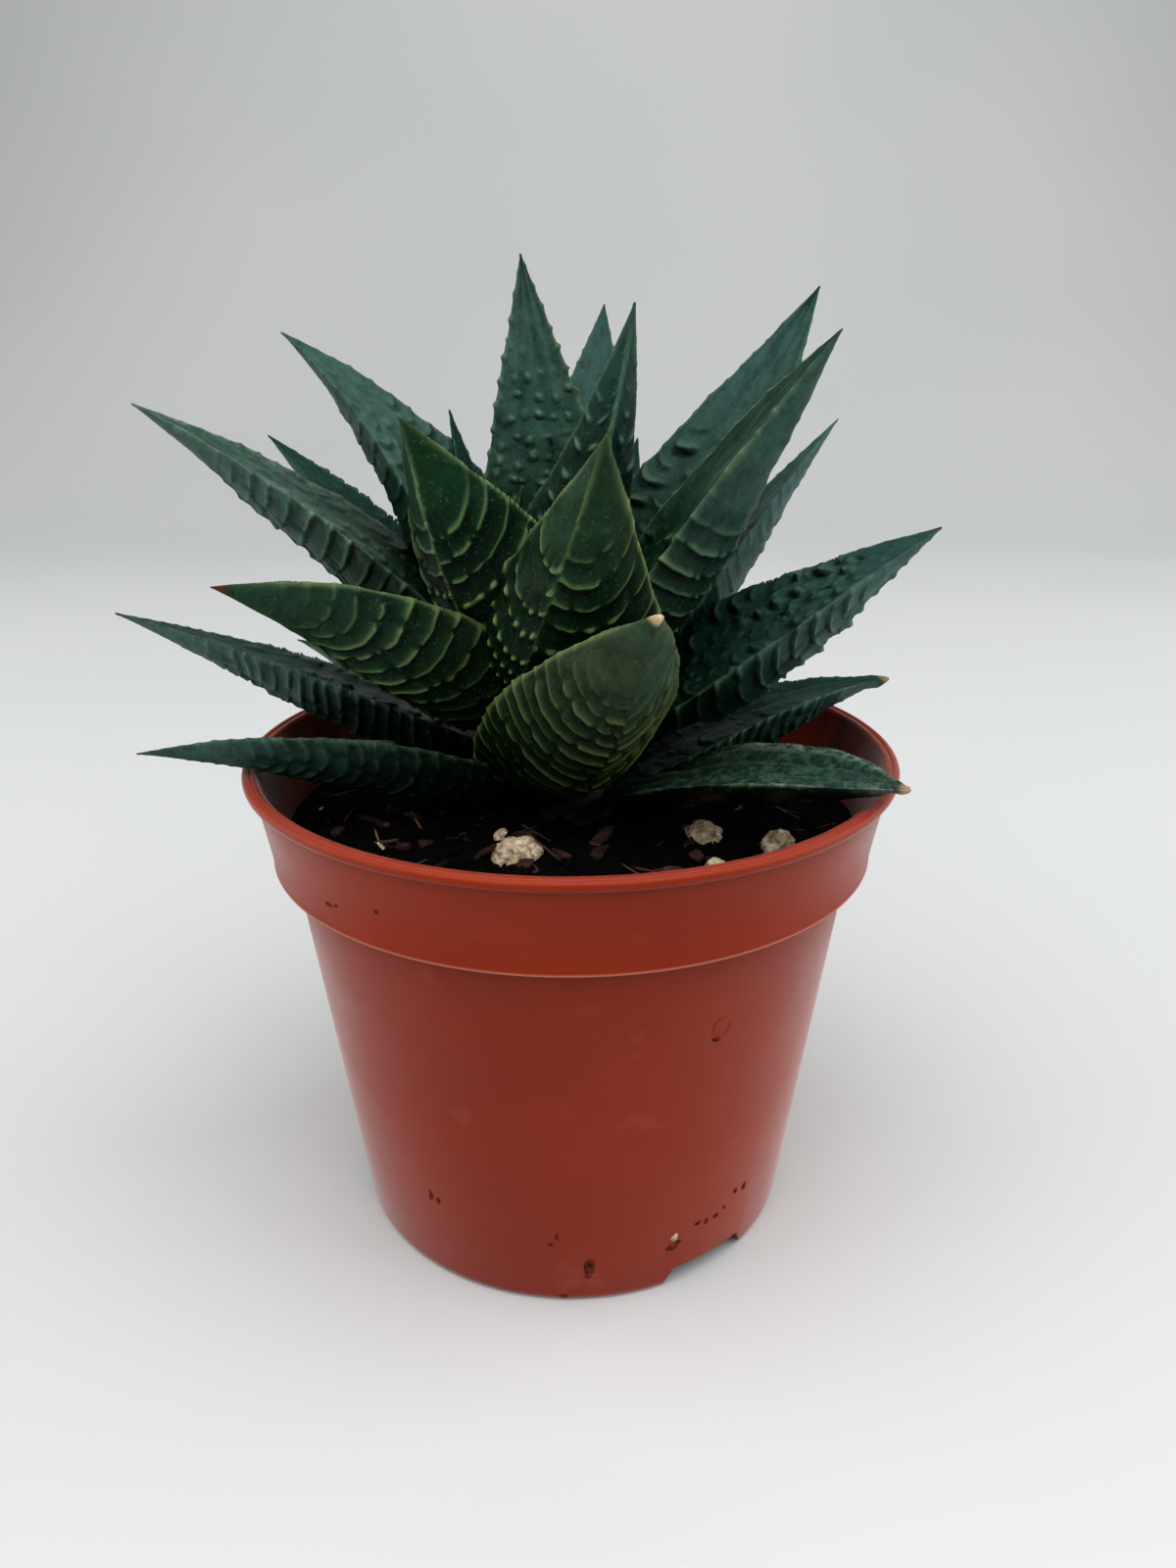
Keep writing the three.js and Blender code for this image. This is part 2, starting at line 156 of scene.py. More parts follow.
bpy.ops.mesh.primitive_plane_add(size=2 * CARD_HALF, location=(0, CARD_BACK - CARD_HALF, 0))
card = bpy.context.object
card.name = "white_card"
bpy.ops.object.mode_set(mode="EDIT")
bpy.ops.mesh.select_mode(type="EDGE")
bpy.ops.mesh.select_all(action="DESELECT")
bpy.ops.object.mode_set(mode="OBJECT")
for edge in card.data.edges:
    ends = [(card.matrix_world @ card.data.vertices[v].co).y for v in edge.vertices]
    edge.select = min(ends) > CARD_BACK - HAIR
bpy.ops.object.mode_set(mode="EDIT")
for step in range(CARD_STEPS):
    low, high = (math.radians(90 * n / CARD_STEPS) for n in (step, step + 1))
    rise = CARD_BEND * (math.cos(low) - math.cos(high))
    reach = CARD_BEND * (math.sin(high) - math.sin(low))
    bpy.ops.mesh.extrude_region_move(TRANSFORM_OT_translate={"value": (0, reach, rise)})
bpy.ops.mesh.extrude_region_move(TRANSFORM_OT_translate={"value": (0, 0, CARD_WALL)})
bpy.ops.object.mode_set(mode="OBJECT")
bpy.ops.object.transform_apply(location=True)
bpy.ops.object.shade_smooth()

# Coated white card: matte, very slightly uneven
card_white = mottled("coated_white_card", {"Scale": marks_of(333)},
                     ((0.3, "#bdbfbf"), (0.7, "#c3c4c4")), Roughness=0.6)
card.data.materials.append(card_white)


# Pot: one injection-moulded shell of polypropylene, with a rolled rim, a stacking band, a
# tapered wall and a floor. Three notches are moulded up into the foot, each with a drain hole.

POT_SIDES = 192
POT_WALL = 0.85
POT_OUTSIDE = (
    (29.2, 0.0), (29.7, 0.05), (30.1, 0.25), (30.35, 0.65), (30.5, 1.3),
    (33.8, 27.0), (37.1, 52.4), (37.25, 52.8), (37.6, 53.0),
    (38.9, 53.0), (39.4, 52.95), (39.62, 53.1), (39.62, 53.45), (39.5, 53.8),
    (40.4, 59.0), (41.25, 63.8), (41.35, 64.05),
    (41.9, 64.1), (42.25, 64.25), (42.45, 64.55), (42.5, 64.9), (42.4, 65.2), (42.15, 65.43),
    (41.9, 65.5), (41.7, 65.44), (41.58, 65.28),
)
POT_INSIDE = (
    (41.42, 65.28), (41.3, 65.44), (41.1, 65.5), (40.8, 65.42), (40.62, 65.2), (40.55, 64.9),
    (40.45, 63.7), (39.5, 59.0), (38.5, 54.1), (38.2, 53.9), (36.5, 53.75), (36.3, 53.4),
    (33.0, 27.0), (29.7, 1.7), (29.4, 1.15), (28.9, 1.0),
)
NOTCH_AZIMUTHS = (36, 156, 276)
NOTCH_WIDTH = 15
NOTCH_ROOF_WIDTH = 11
NOTCH_HEIGHT = 3
NOTCH_INNER_RADIUS = 20
NOTCH_OUTER_RADIUS = 33.4
DRAIN_RADIUS = 2.3
DRAIN_DISTANCE = 25.5
DRILL_LENGTH = 4
PARTING_HEIGHT = 53.1
PARTING_RADIUS = 39.5
PARTING_WIDTH = 0.05
CREASE_ANGLE = 32


def heading(azimuth):
    """Unit vector on the level at an azimuth, which is 0 at the front and grows to the right."""
    angle = math.radians(azimuth)
    return np.array([math.sin(angle), -math.cos(angle), 0])


def wall_radius(height):
    """The pot's outer radius at one height or at many."""
    return np.interp(height, *np.array(sorted((h, r) for r, h in POT_OUTSIDE)).T)


def spin_up(name, outline):
    """A closed turned solid, drawn up ring by ring from a circle through (radius, height) points,
    with its first and last rings filled."""
    radius, height = outline[0]
    bpy.ops.mesh.primitive_circle_add(vertices=POT_SIDES, radius=radius * MM, fill_type="NGON",
                                      location=(0, 0, height * MM))
    piece = bpy.context.object
    piece.name = name
    bpy.ops.object.mode_set(mode="EDIT")
    for (radius, height), (wider, higher) in zip(outline, outline[1:]):
        lift = {"value": (0, 0, (higher - height) * MM)}
        bpy.ops.mesh.extrude_region_move(TRANSFORM_OT_translate=lift)
        grow = wider / radius
        bpy.ops.transform.resize(value=(grow, grow, 1), center_override=(0, 0, 0))
    bpy.ops.mesh.select_all(action="SELECT")
    bpy.ops.mesh.normals_make_consistent(inside=False)
    bpy.ops.object.mode_set(mode="OBJECT")
    bpy.ops.object.transform_apply(location=True)
    return piece


def notch_block(azimuth, grow):
    """A notch's hollow with its walls moved out by grow: a long block, narrower at the top."""
    middle = (NOTCH_INNER_RADIUS + NOTCH_OUTER_RADIUS - grow) / 2
    length = NOTCH_OUTER_RADIUS - NOTCH_INNER_RADIUS + grow
    top = NOTCH_HEIGHT + grow
    bpy.ops.mesh.primitive_cube_add(size=1, location=(0, -middle * MM, (top - 1) / 2 * MM))
    block = bpy.context.object
    width, roof = NOTCH_WIDTH + 2 * grow, NOTCH_ROOF_WIDTH + 2 * grow
    bpy.ops.transform.resize(value=(width * MM, length * MM, (top + 1) * MM))
    bpy.ops.object.transform_apply(location=True, scale=True)
    for vertex in block.data.vertices:
        if vertex.co.z > 0:
            vertex.co.x *= roof / width
    bpy.ops.transform.rotate(value=-math.radians(azimuth), orient_axis="Z",
                             center_override=(0, 0, 0))
    bpy.ops.object.transform_apply(location=True, rotation=True)
    return block


def joined(name, pieces):
    """Several objects made one, at the origin."""
    bpy.ops.object.select_all(action="DESELECT")
    for piece in pieces:
        piece.select_set(True)
    bpy.context.view_layer.objects.active = pieces[0]
    if len(pieces) > 1:
        bpy.ops.object.join()
    pieces[0].name = name
    bpy.ops.object.transform_apply(location=True, rotation=True, scale=True)
    return pieces[0]


def apply_modifier(piece, kind, **settings):
    bpy.context.view_layer.objects.active = piece
    modifier = piece.modifiers.new(kind.lower(), kind)
    for name, value in settings.items():
        setattr(modifier, name, value)
    bpy.ops.object.modifier_apply(modifier=modifier.name)


def cut(piece, other, operation):
    """Joins, cuts or keeps the shared part of two solids, and removes the second."""
    apply_modifier(piece, "BOOLEAN", operation=operation, object=other, solver="EXACT")
    bpy.data.objects.remove(other)


def dress(piece, material, slot, *nodes):
    """Gives a finished piece its material and body, and hides the CAD nodes that it stands for.
    Its slot is not used.
    """
    piece.data.materials.clear()
    piece.data.materials.append(material)
    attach(piece, "root")
    if nodes:
        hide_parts(*nodes)


def set_attribute(piece, name, values):
    """Stores one number for each vertex, which a material reads by name."""
    attribute = piece.data.attributes.new(name, "FLOAT", "POINT")
    attribute.data.foreach_set("value", np.asarray(values, np.float32))


def vertex_places(piece):
    places = np.empty(len(piece.data.vertices) * 3)
    piece.data.vertices.foreach_get("co", places)
    return places.reshape(-1, 3)


pot = spin_up("pot_shell", POT_OUTSIDE + POT_INSIDE)
rim_middle = ((40.0, 65.5),)
envelope = spin_up("pot_envelope", POT_OUTSIDE + rim_middle)
housings = joined("notch_housings", [notch_block(a, POT_WALL) for a in NOTCH_AZIMUTHS])
cut(housings, envelope, "INTERSECT")
cut(pot, housings, "UNION")
cut(pot, joined("notch_hollows", [notch_block(a, 0) for a in NOTCH_AZIMUTHS]), "DIFFERENCE")
drills = []
for azimuth in NOTCH_AZIMUTHS:
    place = (DRAIN_DISTANCE * heading(azimuth) + (0, 0, NOTCH_HEIGHT)) * MM
    bpy.ops.mesh.primitive_cylinder_add(vertices=40, radius=DRAIN_RADIUS * MM,
                                        depth=DRILL_LENGTH * MM, location=place)
    drills.append(bpy.context.object)
cut(pot, joined("drain_drills", drills), "DIFFERENCE")
bpy.ops.object.select_all(action="DESELECT")
pot.select_set(True)
bpy.context.view_layer.objects.active = pot
bpy.ops.object.shade_smooth_by_angle(angle=math.radians(CREASE_ANGLE))

places = vertex_places(pot) / MM
away = np.hypot(places[:, 0], places[:, 1])
set_attribute(pot, "inside", away < wall_radius(places[:, 2]) - POT_WALL / 2)
# The band's lower edge, for a pale line that is partly the mould's flash and partly a painted
# highlight
parting = np.exp(-((places[:, 2] - PARTING_HEIGHT) / PARTING_WIDTH) ** 2)
set_attribute(pot, "parting", (away > PARTING_RADIUS) * parting)

# Terracotta-coloured polypropylene, moulded with a fine satin grain: deep red-orange, with a pale
# sheen at glancing angles, a pale line where the mould parted under the band (partly its flash,
# partly a painted highlight on that edge), faint water marks and soil dust near the foot. The
# grain is drawn coarser than the mould's own, so that it shows.
pot_plastic = new_material("moulded_polypropylene", IOR=1.49, Specular_IOR_Level=0.22,
                           Sheen_Weight=0.42, Sheen_Roughness=0.32)

# Sockets known by number: a sum's two, a colour mix's share and the colours under and over it,
# and the ends of a range before and after it is moved
FIRST, SECOND = 0, 1
SHARE, UNDER, OVER = 0, 6, 7
LOW, HIGH, LEAST, MOST = 1, 2, 3, 4
COLOURS = {"data_type": "RGBA", "out": 2}

spot = add_node(pot_plastic, "TexCoord", out="Object")
flow = add_node(pot_plastic, "TexNoise",
                {"Vector": spot, "Scale": marks_of(33.3), "Detail": 4.0})
body = add_node(pot_plastic, "ValToRGB", {"Fac": flow}, ((0.3, "#80260c"), (0.7, "#8c2e0f")))
marks = add_node(pot_plastic, "TexNoise",
                 {"Vector": spot, "Scale": marks_of(9.09), "Detail": 6.0, "Roughness": 0.6})
dried = add_node(pot_plastic, "MapRange", {"Value": marks, LOW: 0.62, HIGH: 0.72, MOST: 0.1})
height = add_node(pot_plastic, "SeparateXYZ", {"Vector": spot}, out="Z")
low = add_node(pot_plastic, "MapRange",
               {"Value": height, LOW: 16 * MM, HIGH: 2 * MM, MOST: 0.36})
grit = add_node(pot_plastic, "TexNoise",
                {"Vector": spot, "Scale": marks_of(1.43), "Detail": 3.0, "Roughness": 0.6})
patch = add_node(pot_plastic, "TexNoise", {"Vector": spot, "Scale": marks_of(14.3)})
near = add_node(pot_plastic, "Math", {FIRST: patch, SECOND: low}, operation="MULTIPLY")
gritty = add_node(pot_plastic, "Math", {FIRST: grit, SECOND: near}, operation="ADD")
speck = add_node(pot_plastic, "MapRange", {"Value": gritty, LOW: 0.85, HIGH: 0.9, MOST: 0.6})
within = add_node(pot_plastic, "Attribute", attribute_name="inside", out="Fac")
smear = add_node(pot_plastic, "TexNoise",
                 {"Vector": spot, "Scale": marks_of(6.25), "Detail": 8.0, "Roughness": 0.7})
smeared = add_node(pot_plastic, "MapRange", {"Value": smear, LOW: 0.42, HIGH: 0.62, MOST: 0.85})
dirty = add_node(pot_plastic, "Math", {FIRST: smeared, SECOND: within}, operation="MULTIPLY")
# Painted highlight: a pale line along the band's lower edge, partly standing for the mould's flash
parting = add_node(pot_plastic, "Attribute", attribute_name="parting", out="Fac")
parting_flash_and_highlight = add_node(pot_plastic, "Math", {FIRST: parting, SECOND: 0.4}, operation="MULTIPLY")

# Over the bare plastic, water marks, soil near the foot, smears inside and the parting line,
# whose pale colour is partly a painted highlight
colour = body
for thickness, layer in ((dried, "#b98676"), (speck, "#33150f"), (dirty, "#3a1a14"),
                         (parting_flash_and_highlight, "#e0a794")):
    colour = add_node(pot_plastic, "Mix",
                      {SHARE: thickness, UNDER: colour, OVER: layer}, **COLOURS)
satin = add_node(pot_plastic, "MapRange",
                 {"Value": marks, LOW: 0.3, HIGH: 0.75, LEAST: 0.36, MOST: 0.5})
grain = add_node(pot_plastic, "TexNoise", {"Vector": spot, "Scale": marks_of(0.385)})
skin = add_node(pot_plastic, "Bump",
                {"Height": grain, "Strength": 0.12, "Distance": 0.2 * MM})
set_shader(pot_plastic, Base_Color=colour, Roughness=satin, Normal=skin)
dress(pot, pot_plastic, "pot_plastic", "pot")

# Splashes of soil dried on the wall and the band: flat crumbs as (azimuth, height, width, tall),
# and a pale one
SPLASHES = (
    (4.4, 6.2, 0.75, 1.5), (4.0, 4.6, 0.45, 0.5), (24.5, 6.9, 0.8, 0.6), (26.1, 7.6, 0.4, 0.4),
    (-1.9, 0.9, 0.7, 0.35), (-33.9, 13.7, 0.35, 0.8), (-31.8, 13.4, 0.25, 0.6),
    (31.2, 9.6, 0.5, 0.4), (33.6, 9.3, 0.35, 0.5), (36.5, 9.4, 0.45, 0.4),
    (42.2, 11.9, 0.35, 0.6), (45.4, 11.6, 0.4, 0.6), (-3.1, 11.7, 0.3, 0.5),
    (-4.5, 10.2, 0.4, 0.3), (39.0, 10.1, 0.3, 0.3), (28.9, 39.9, 0.7, 0.3),
    (-42.5, 56.6, 0.6, 0.3), (-40.5, 56.9, 0.35, 0.25), (-31.0, 58.2, 0.3, 0.25),
)
PALE_SPLASH = (24.9, 8.6, 0.6, 0.7)
SPLASH_DEPTH = 0.14
DROP_MARK = (29.8, 41.5)
DROP_RADIUS = 1.2
DROP_HEIGHT = 0.07
WALL_FOOT, WALL_TOP = POT_OUTSIDE[4], POT_OUTSIDE[6]
WALL_LEAN = math.atan2(WALL_TOP[0] - WALL_FOOT[0], WALL_TOP[1] - WALL_FOOT[1])


def on_wall(piece, azimuth, height):
    """Leans a small piece made at the origin with the pot's wall and moves it onto the wall."""
    for axis, angle in (("X", WALL_LEAN), ("Z", math.radians(azimuth))):
        bpy.ops.transform.rotate(value=-angle, orient_axis=axis, center_override=(0, 0, 0))
    place = (wall_radius(height) * heading(azimuth) + (0, 0, height)) * MM
    bpy.ops.transform.translate(value=place)
    bpy.ops.object.shade_smooth()
    return piece


def splash(azimuth, height, width, tall):
    """A flattened lump half sunk in the pot's wall."""
    bpy.ops.mesh.primitive_ico_sphere_add(subdivisions=3, radius=1)
    blob = bpy.context.object
    for vertex in blob.data.vertices:
        ragged = noise.noise(vertex.co * 1.6 + Vector((azimuth, height, 0)))
        vertex.co *= 0.85 + 0.6 * ragged
    bpy.ops.transform.resize(value=(width * MM, SPLASH_DEPTH * MM, tall * MM))
    return on_wall(blob, azimuth, height)


# Dried soil: dull red-brown, darker where it lies thick
dried_soil = mottled("dried_soil", {"Scale": marks_of(0.667), "Detail": 3.0},
                     ((0.35, "#34160f"), (0.6, "#6b3325")), Roughness=0.9,
                     Specular_IOR_Level=0.15)
splashes = joined("soil_splashes", [splash(*entry) for entry in SPLASHES])
dress(splashes, dried_soil, "potting_soil")

# The mark of a dried drop: a faint raised ring in the plastic's own colour
bpy.ops.mesh.primitive_torus_add(major_radius=DROP_RADIUS * MM, major_segments=36,
                                 minor_radius=DROP_HEIGHT * MM, minor_segments=8,
                                 rotation=(math.pi / 2, 0, 0))
bpy.ops.object.transform_apply(rotation=True)
drop = joined("dried_drop_mark", [on_wall(bpy.context.object, *DROP_MARK)])
dress(drop, pot_plastic, "pot_plastic")


# Soil: damp peat potting mix, filled to just under the rim. It is a lumpy body with loose crumbs,
# chips of bark, root fibres and crumbs of perlite pressed into its top.

SOIL_LEVEL = 56.4
SOIL_GRID = 150
SOIL_RADIUS = 38.2
SOIL_SIDE = ((37.95, 54.3), (36.05, 53.95), (29.25, 1.35))
SOIL_EDGE = 0.8


def smoothstep(value, low, high):
    share = np.clip((value - low) / (high - low), 0, 1)
    return share * share * (3 - 2 * share)


def soil_height(x, y):
    """Height of the soil's top at a place, as its CAD solid has it."""
    distance = np.hypot(x, y)
    lumps = 0.5 * np.sin(0.42 * x + 1.3) * np.cos(0.37 * y - 0.4)
    crumbs = 0.3 * np.sin(0.9 * x - 0.7 * y)
    edge_sink = 1.1 * smoothstep(distance, 29, 38)
    return SOIL_LEVEL + lumps + crumbs - edge_sink - 0.6 * np.exp(-((distance / 10) ** 2))


def soil_grain(x, y):
    """The crumb texture that stands on that height: coarse and fine clods."""
    point = Vector((x, y, 0))
    coarse = noise.fractal(point * 0.55, 0.9, 2.1, 5)
    clods = noise.noise(point * 1.3 + Vector((9, 4, 0)))
    return 0.45 * coarse + 0.4 * abs(clods)


bpy.ops.mesh.primitive_grid_add(x_subdivisions=SOIL_GRID, y_subdivisions=SOIL_GRID, size=2)
soil = bpy.context.object
soil.name = "soil_mass"
places = vertex_places(soil)
x = SOIL_RADIUS * places[:, 0] * np.sqrt(1 - places[:, 1] ** 2 / 2)
y = SOIL_RADIUS * places[:, 1] * np.sqrt(1 - places[:, 0] ** 2 / 2)
z = soil_height(x, y)
inner = 1 - smoothstep(np.hypot(x, y), SOIL_RADIUS - SOIL_EDGE, SOIL_RADIUS)
z += inner * np.array([soil_grain(*spot) for spot in zip(x, y)])
soil.data.vertices.foreach_set("co", (np.column_stack((x, y, z)) * MM).ravel())
bpy.ops.object.mode_set(mode="EDIT")
bpy.ops.mesh.select_mode(type="EDGE")
bpy.ops.mesh.select_all(action="DESELECT")
bpy.ops.mesh.select_non_manifold()
radius = SOIL_RADIUS
for narrower, height in SOIL_SIDE:
    bpy.ops.mesh.extrude_region_move(TRANSFORM_OT_translate={"value": (0, 0, 0)})
    bpy.ops.transform.resize(value=(narrower / radius, narrower / radius, 0),
                             center_override=(0, 0, height * MM))
    radius = narrower
bpy.ops.mesh.edge_face_add()
bpy.ops.mesh.select_all(action="SELECT")
bpy.ops.mesh.normals_make_consistent(inside=False)
bpy.ops.object.mode_set(mode="OBJECT")
bpy.ops.object.shade_smooth()

# Damp peat: almost black, with brown fibrous crumbs that catch a little light
peat = mottled("damp_peat", {"Scale": marks_of(2.38), "Detail": 5.0, "Roughness": 0.7},
               ((0.42, "#020101"), (0.62, "#0a0604"), (0.78, "#24140e")), (0.8, 0.4),
               Roughness=0.92, Specular_IOR_Level=0.1)
dress(soil, peat, "potting_soil", "soil")


def scatter(name, shape, count, sizes, squeeze, sink, clear, reach, chance):
    """One object of many copies of a small shape, strewn over the soil and half bedded in it."""
    points = vertex_places(shape)
    corners = np.empty(len(shape.data.loops), int)
    shape.data.loops.foreach_get("vertex_index", corners)
    counts = np.empty(len(shape.data.polygons), int)
    shape.data.polygons.foreach_get("loop_total", counts)
    faces = np.split(corners, np.cumsum(counts)[:-1])
    all_points, all_faces = [], []
    for copy in range(count):
        away = reach * math.sqrt(chance.uniform((clear / reach) ** 2, 1))
        bearing = chance.uniform(0, 2 * math.pi)
        x, y = away * math.cos(bearing), away * math.sin(bearing)
        size = chance.uniform(*sizes)
        lumpy = points * (1 + 0.22 * np.sin(5 * points[:, [1, 2, 0]] + 7 * chance.random(3)))
        small = lumpy * size * np.array(squeeze) * chance.uniform(0.7, 1.3, 3)
        turn, tip = chance.uniform(0, 2 * math.pi), chance.normal(0, 0.35, 2)
        tipped = small.copy()
        tipped[:, 2] += small[:, 0] * tip[0] + small[:, 1] * tip[1]
        turned = np.column_stack((
            tipped[:, 0] * math.cos(turn) - tipped[:, 1] * math.sin(turn),
            tipped[:, 0] * math.sin(turn) + tipped[:, 1] * math.cos(turn), tipped[:, 2]))
        ground = soil_height(x, y) + soil_grain(x, y)
        all_faces += [face + copy * len(points) for face in faces]
        all_points.append(turned + (x, y, ground - sink * size))
    mesh = bpy.data.meshes.new(name)
    mesh.from_pydata((np.concatenate(all_points) * MM).tolist(), [],
                     [face.tolist() for face in all_faces])
    piece = bpy.data.objects.new(name, mesh)
    bpy.context.scene.collection.objects.link(piece)
    bpy.data.objects.remove(shape)
    return piece


def lump(subdivisions):
    bpy.ops.mesh.primitive_ico_sphere_add(subdivisions=subdivisions, radius=1)
    return bpy.context.object


def chip():
    """A flake of bark: a block with its edges taken off."""
    bpy.ops.mesh.primitive_cube_add(size=2)
    block = bpy.context.object
    bpy.ops.object.mode_set(mode="EDIT")
    bpy.ops.mesh.select_all(action="SELECT")
    bpy.ops.mesh.bevel(offset=0.35, segments=1)
    bpy.ops.object.mode_set(mode="OBJECT")
    return block


def strand():
    """A short straight fibre along x."""
    bpy.ops.mesh.primitive_cylinder_add(vertices=5, radius=1, depth=2,
                                        rotation=(0, math.pi / 2, 0))
    bpy.ops.object.transform_apply(rotation=True)
    return bpy.context.object


# Composted pine bark: red-brown, layered and fibrous, dull
bark = mottled("composted_pine_bark", {"Scale": marks_of(1.92), "Detail": 4.0, "Distortion": 1.2},
               ((0.35, "#190d0b"), (0.55, "#38201b"), (0.75, "#5a392e")), (0.7, 0.3),
               Roughness=0.85, Specular_IOR_Level=0.3)

# Peat fibre and straw: thin, pale to mid brown
fibre = mottled("peat_fibre", {"Scale": marks_of(16.7)},
                ((0.4, "#2a1813"), (0.62, "#553827"), (0.74, "#9a7f5e")), Roughness=0.7)

# Perlite: volcanic glass popped by heat to a chalky foam, cream-white with soil in its pores
perlite = mottled("expanded_perlite", {"Scale": marks_of(1.11), "Detail": 6.0, "Roughness": 0.7},
                  ((0.33, "#57432f"), (0.5, "#b3a184"), (0.68, "#e6dcc8")), (0.6, 0.3),
                  Roughness=0.9)

# What is strewn over the soil: its name, material and slot, the shape, how many, their sizes and
# the share of the size along x, y and z, how deep each lies against its size, and the nearest and
# the farthest that one lies from the pot's middle
chance = np.random.default_rng(11)
for name, material, slot, shape, *strewing in (
    ("soil_crumbs", peat, "potting_soil", lump(1), 420, (0.45, 1.25), (1, 0.8, 0.7), 0.1, 0, 37),
    ("soil_fines", peat, "potting_soil", lump(1), 1300, (0.2, 0.5), (1, 0.8, 0.8), 0, 0, 37.3),
    ("bark_chips", bark, "bark", chip(), 110, (0.6, 1.9), (1, 0.55, 0.22), -0.1, 8, 36),
    ("peat_fibres", fibre, "bark", strand(), 55, (1.0, 3.2), (1, 0.05, 0.05), -0.22, 8, 36),
    ("perlite_crumbs", perlite, "perlite", lump(2), 34, (0.25, 0.65), (1, 0.9, 0.8), 0, 10, 36),
):
    dress(scatter(name, shape, *strewing, chance), material, slot)

# One more crumb of perlite was splashed on the pot's wall
dress(joined("perlite_splash", [splash(*PALE_SPLASH)]), perlite, "perlite")

# Grains that stand as nodes: place, half sizes and turn, as their CAD solids have them
GRAINS = (
    ("perlite_large", -6.6, -15.8, (3.1, 2.4, 2.3), 20),
    ("perlite_square", 25.9, -14, (1.9, 1.7, 1.7), 10),
    ("perlite_hooked", 17, -10.2, (2.4, 1.8, 1.9), -30),
    ("perlite_small_right", 17.5, -19.5, (1.2, 1.1, 1.1), 0),
    ("perlite_front", -2.4, -26.5, (1.6, 1.3, 1.5), 35),
    ("perlite_small_left", -8.8, -10.4, (1, 0.9, 1), 15),
    ("perlite_back", -16, 26, (2.2, 1.7, 1.7), 60),
    ("bark_flake_front", 12.5, -23, (2.6, 1.3, 1.1), -18),
    ("bark_flake_back", 12, 27, (3.4, 1.5, 1.2), 25),
)
GRAIN_STAND = 0.3

for name, x, y, size, turn in GRAINS:
    bpy.ops.mesh.primitive_ico_sphere_add(subdivisions=5, radius=1)
    grain = bpy.context.object
    grain.name = name.replace("perlite", "perlite_grain") if "perlite" in name else name + "_piece"
    is_bark = "bark" in name
    for vertex in grain.data.vertices:
        at = vertex.co.copy()
        swell = 0.22 * noise.noise(at * 1.7 + Vector((x, y, 0)))
        pits = 0.14 * noise.voronoi(at * (2.6 if is_bark else 3.4) + Vector((y, x, 3)))[0][0]
        fine = 0.03 * noise.fractal(at * 9, 1.0, 2.0, 3)
        vertex.co = at * (0.97 + swell + pits + fine)
    bpy.ops.transform.resize(value=tuple(s * MM for s in size), center_override=(0, 0, 0))
    bpy.ops.transform.rotate(value=-math.radians(turn), orient_axis="Z",
                             center_override=(0, 0, 0))
    surface = soil_height(x, y) + GRAIN_STAND * size[2]
    bpy.ops.transform.translate(value=(x * MM, y * MM, surface * MM))
    bpy.ops.object.transform_apply(location=True, rotation=True, scale=True)
    bpy.ops.object.shade_smooth()
    dress(grain, bark if is_bark else perlite, "bark" if is_bark else "perlite", name)


# Stem: short and fleshy, wrapped by the leaves' feet and leaning a little left. Its base shows,
# brown with old leaf scars, and its green top can be seen from above, among the heart leaves.

STEM_FOOT = (0.5, 1.0, 57.0)
STEM_LEAN = (-0.15, 0.03)
STEM_STATIONS = ((42, 3.4), (46, 4.8), (56, 5.2), (70, 4.8), (80, 4.2), (86, 3), (89.5, 0.6))
STEM_SCARS = 1.6
STEM_END_ROUNDING = 40


def stem_middle(height):
    """The stem's middle line at one height or at many."""
    rise = np.asarray(height) - STEM_FOOT[2]
    return np.stack((STEM_FOOT[0] + STEM_LEAN[0] * rise, STEM_FOOT[1] + STEM_LEAN[1] * rise,
                     np.asarray(height, float)), axis=-1)


bpy.ops.mesh.primitive_uv_sphere_add(segments=48, ring_count=120, radius=1)
stem = bpy.context.object
stem.name = "stem_core"
places = vertex_places(stem)
base, top = STEM_STATIONS[0][0], STEM_STATIONS[-1][0]
height = base + (top - base) * (1 - np.arccos(np.clip(places[:, 2], -1, 1)) / math.pi)
around = np.arctan2(places[:, 1], places[:, 0])
radius = np.interp(height, *np.array(STEM_STATIONS).T)
radius *= np.sqrt(1 - places[:, 2] ** STEM_END_ROUNDING)
radius *= 1 + 0.05 * np.abs(np.sin(math.pi * height / STEM_SCARS + 1.5 * np.sin(2 * around)))
spread = np.column_stack((np.cos(around), np.sin(around), np.zeros(len(around))))
places = stem_middle(height) + spread * radius[:, None]
stem.data.vertices.foreach_set("co", (places * MM).ravel())
bpy.ops.object.shade_smooth()

# Old stem skin: corky and dry, brown below and green where it is young
cork = new_material("corky_stem_skin", Roughness=0.75)
spot = add_node(cork, "TexCoord", out="Object")
height = add_node(cork, "SeparateXYZ", {"Vector": spot}, out="Z")
age = add_node(cork, "MapRange", {"Value": height, LOW: 55 * MM, HIGH: 80 * MM})
colour = add_node(cork, "ValToRGB", {"Fac": age},
                  ((0.0, "#2a1d14"), (0.45, "#33351f"), (1.0, "#16321d")))
fibrous = add_node(cork, "TexNoise", {"Vector": spot, "Scale": marks_of(1.43), "Detail": 4.0})
rough = add_node(cork, "Bump", {"Height": fibrous, "Strength": 0.6, "Distance": 0.3 * MM})
set_shader(cork, Base_Color=colour, Normal=rough)
dress(stem, cork, "stem_flesh", "stem")


# Leaves: stiff, thick and pointed, each wrapped round the stem by its foot. The upper face is
# nearly flat with rows of bumps. The keeled back carries raised, paler ridges that curve from
# keel to margin, end in small teeth, and break into round beads near the foot.

LEAF_SEAT = 5
LEAF_ROOT = -0.08
COLUMN_FACETS = 2.1
UPPER_SHARE = 0.42
UPPER_HOLLOW = 0.08
FINEST_POINT = 0.14

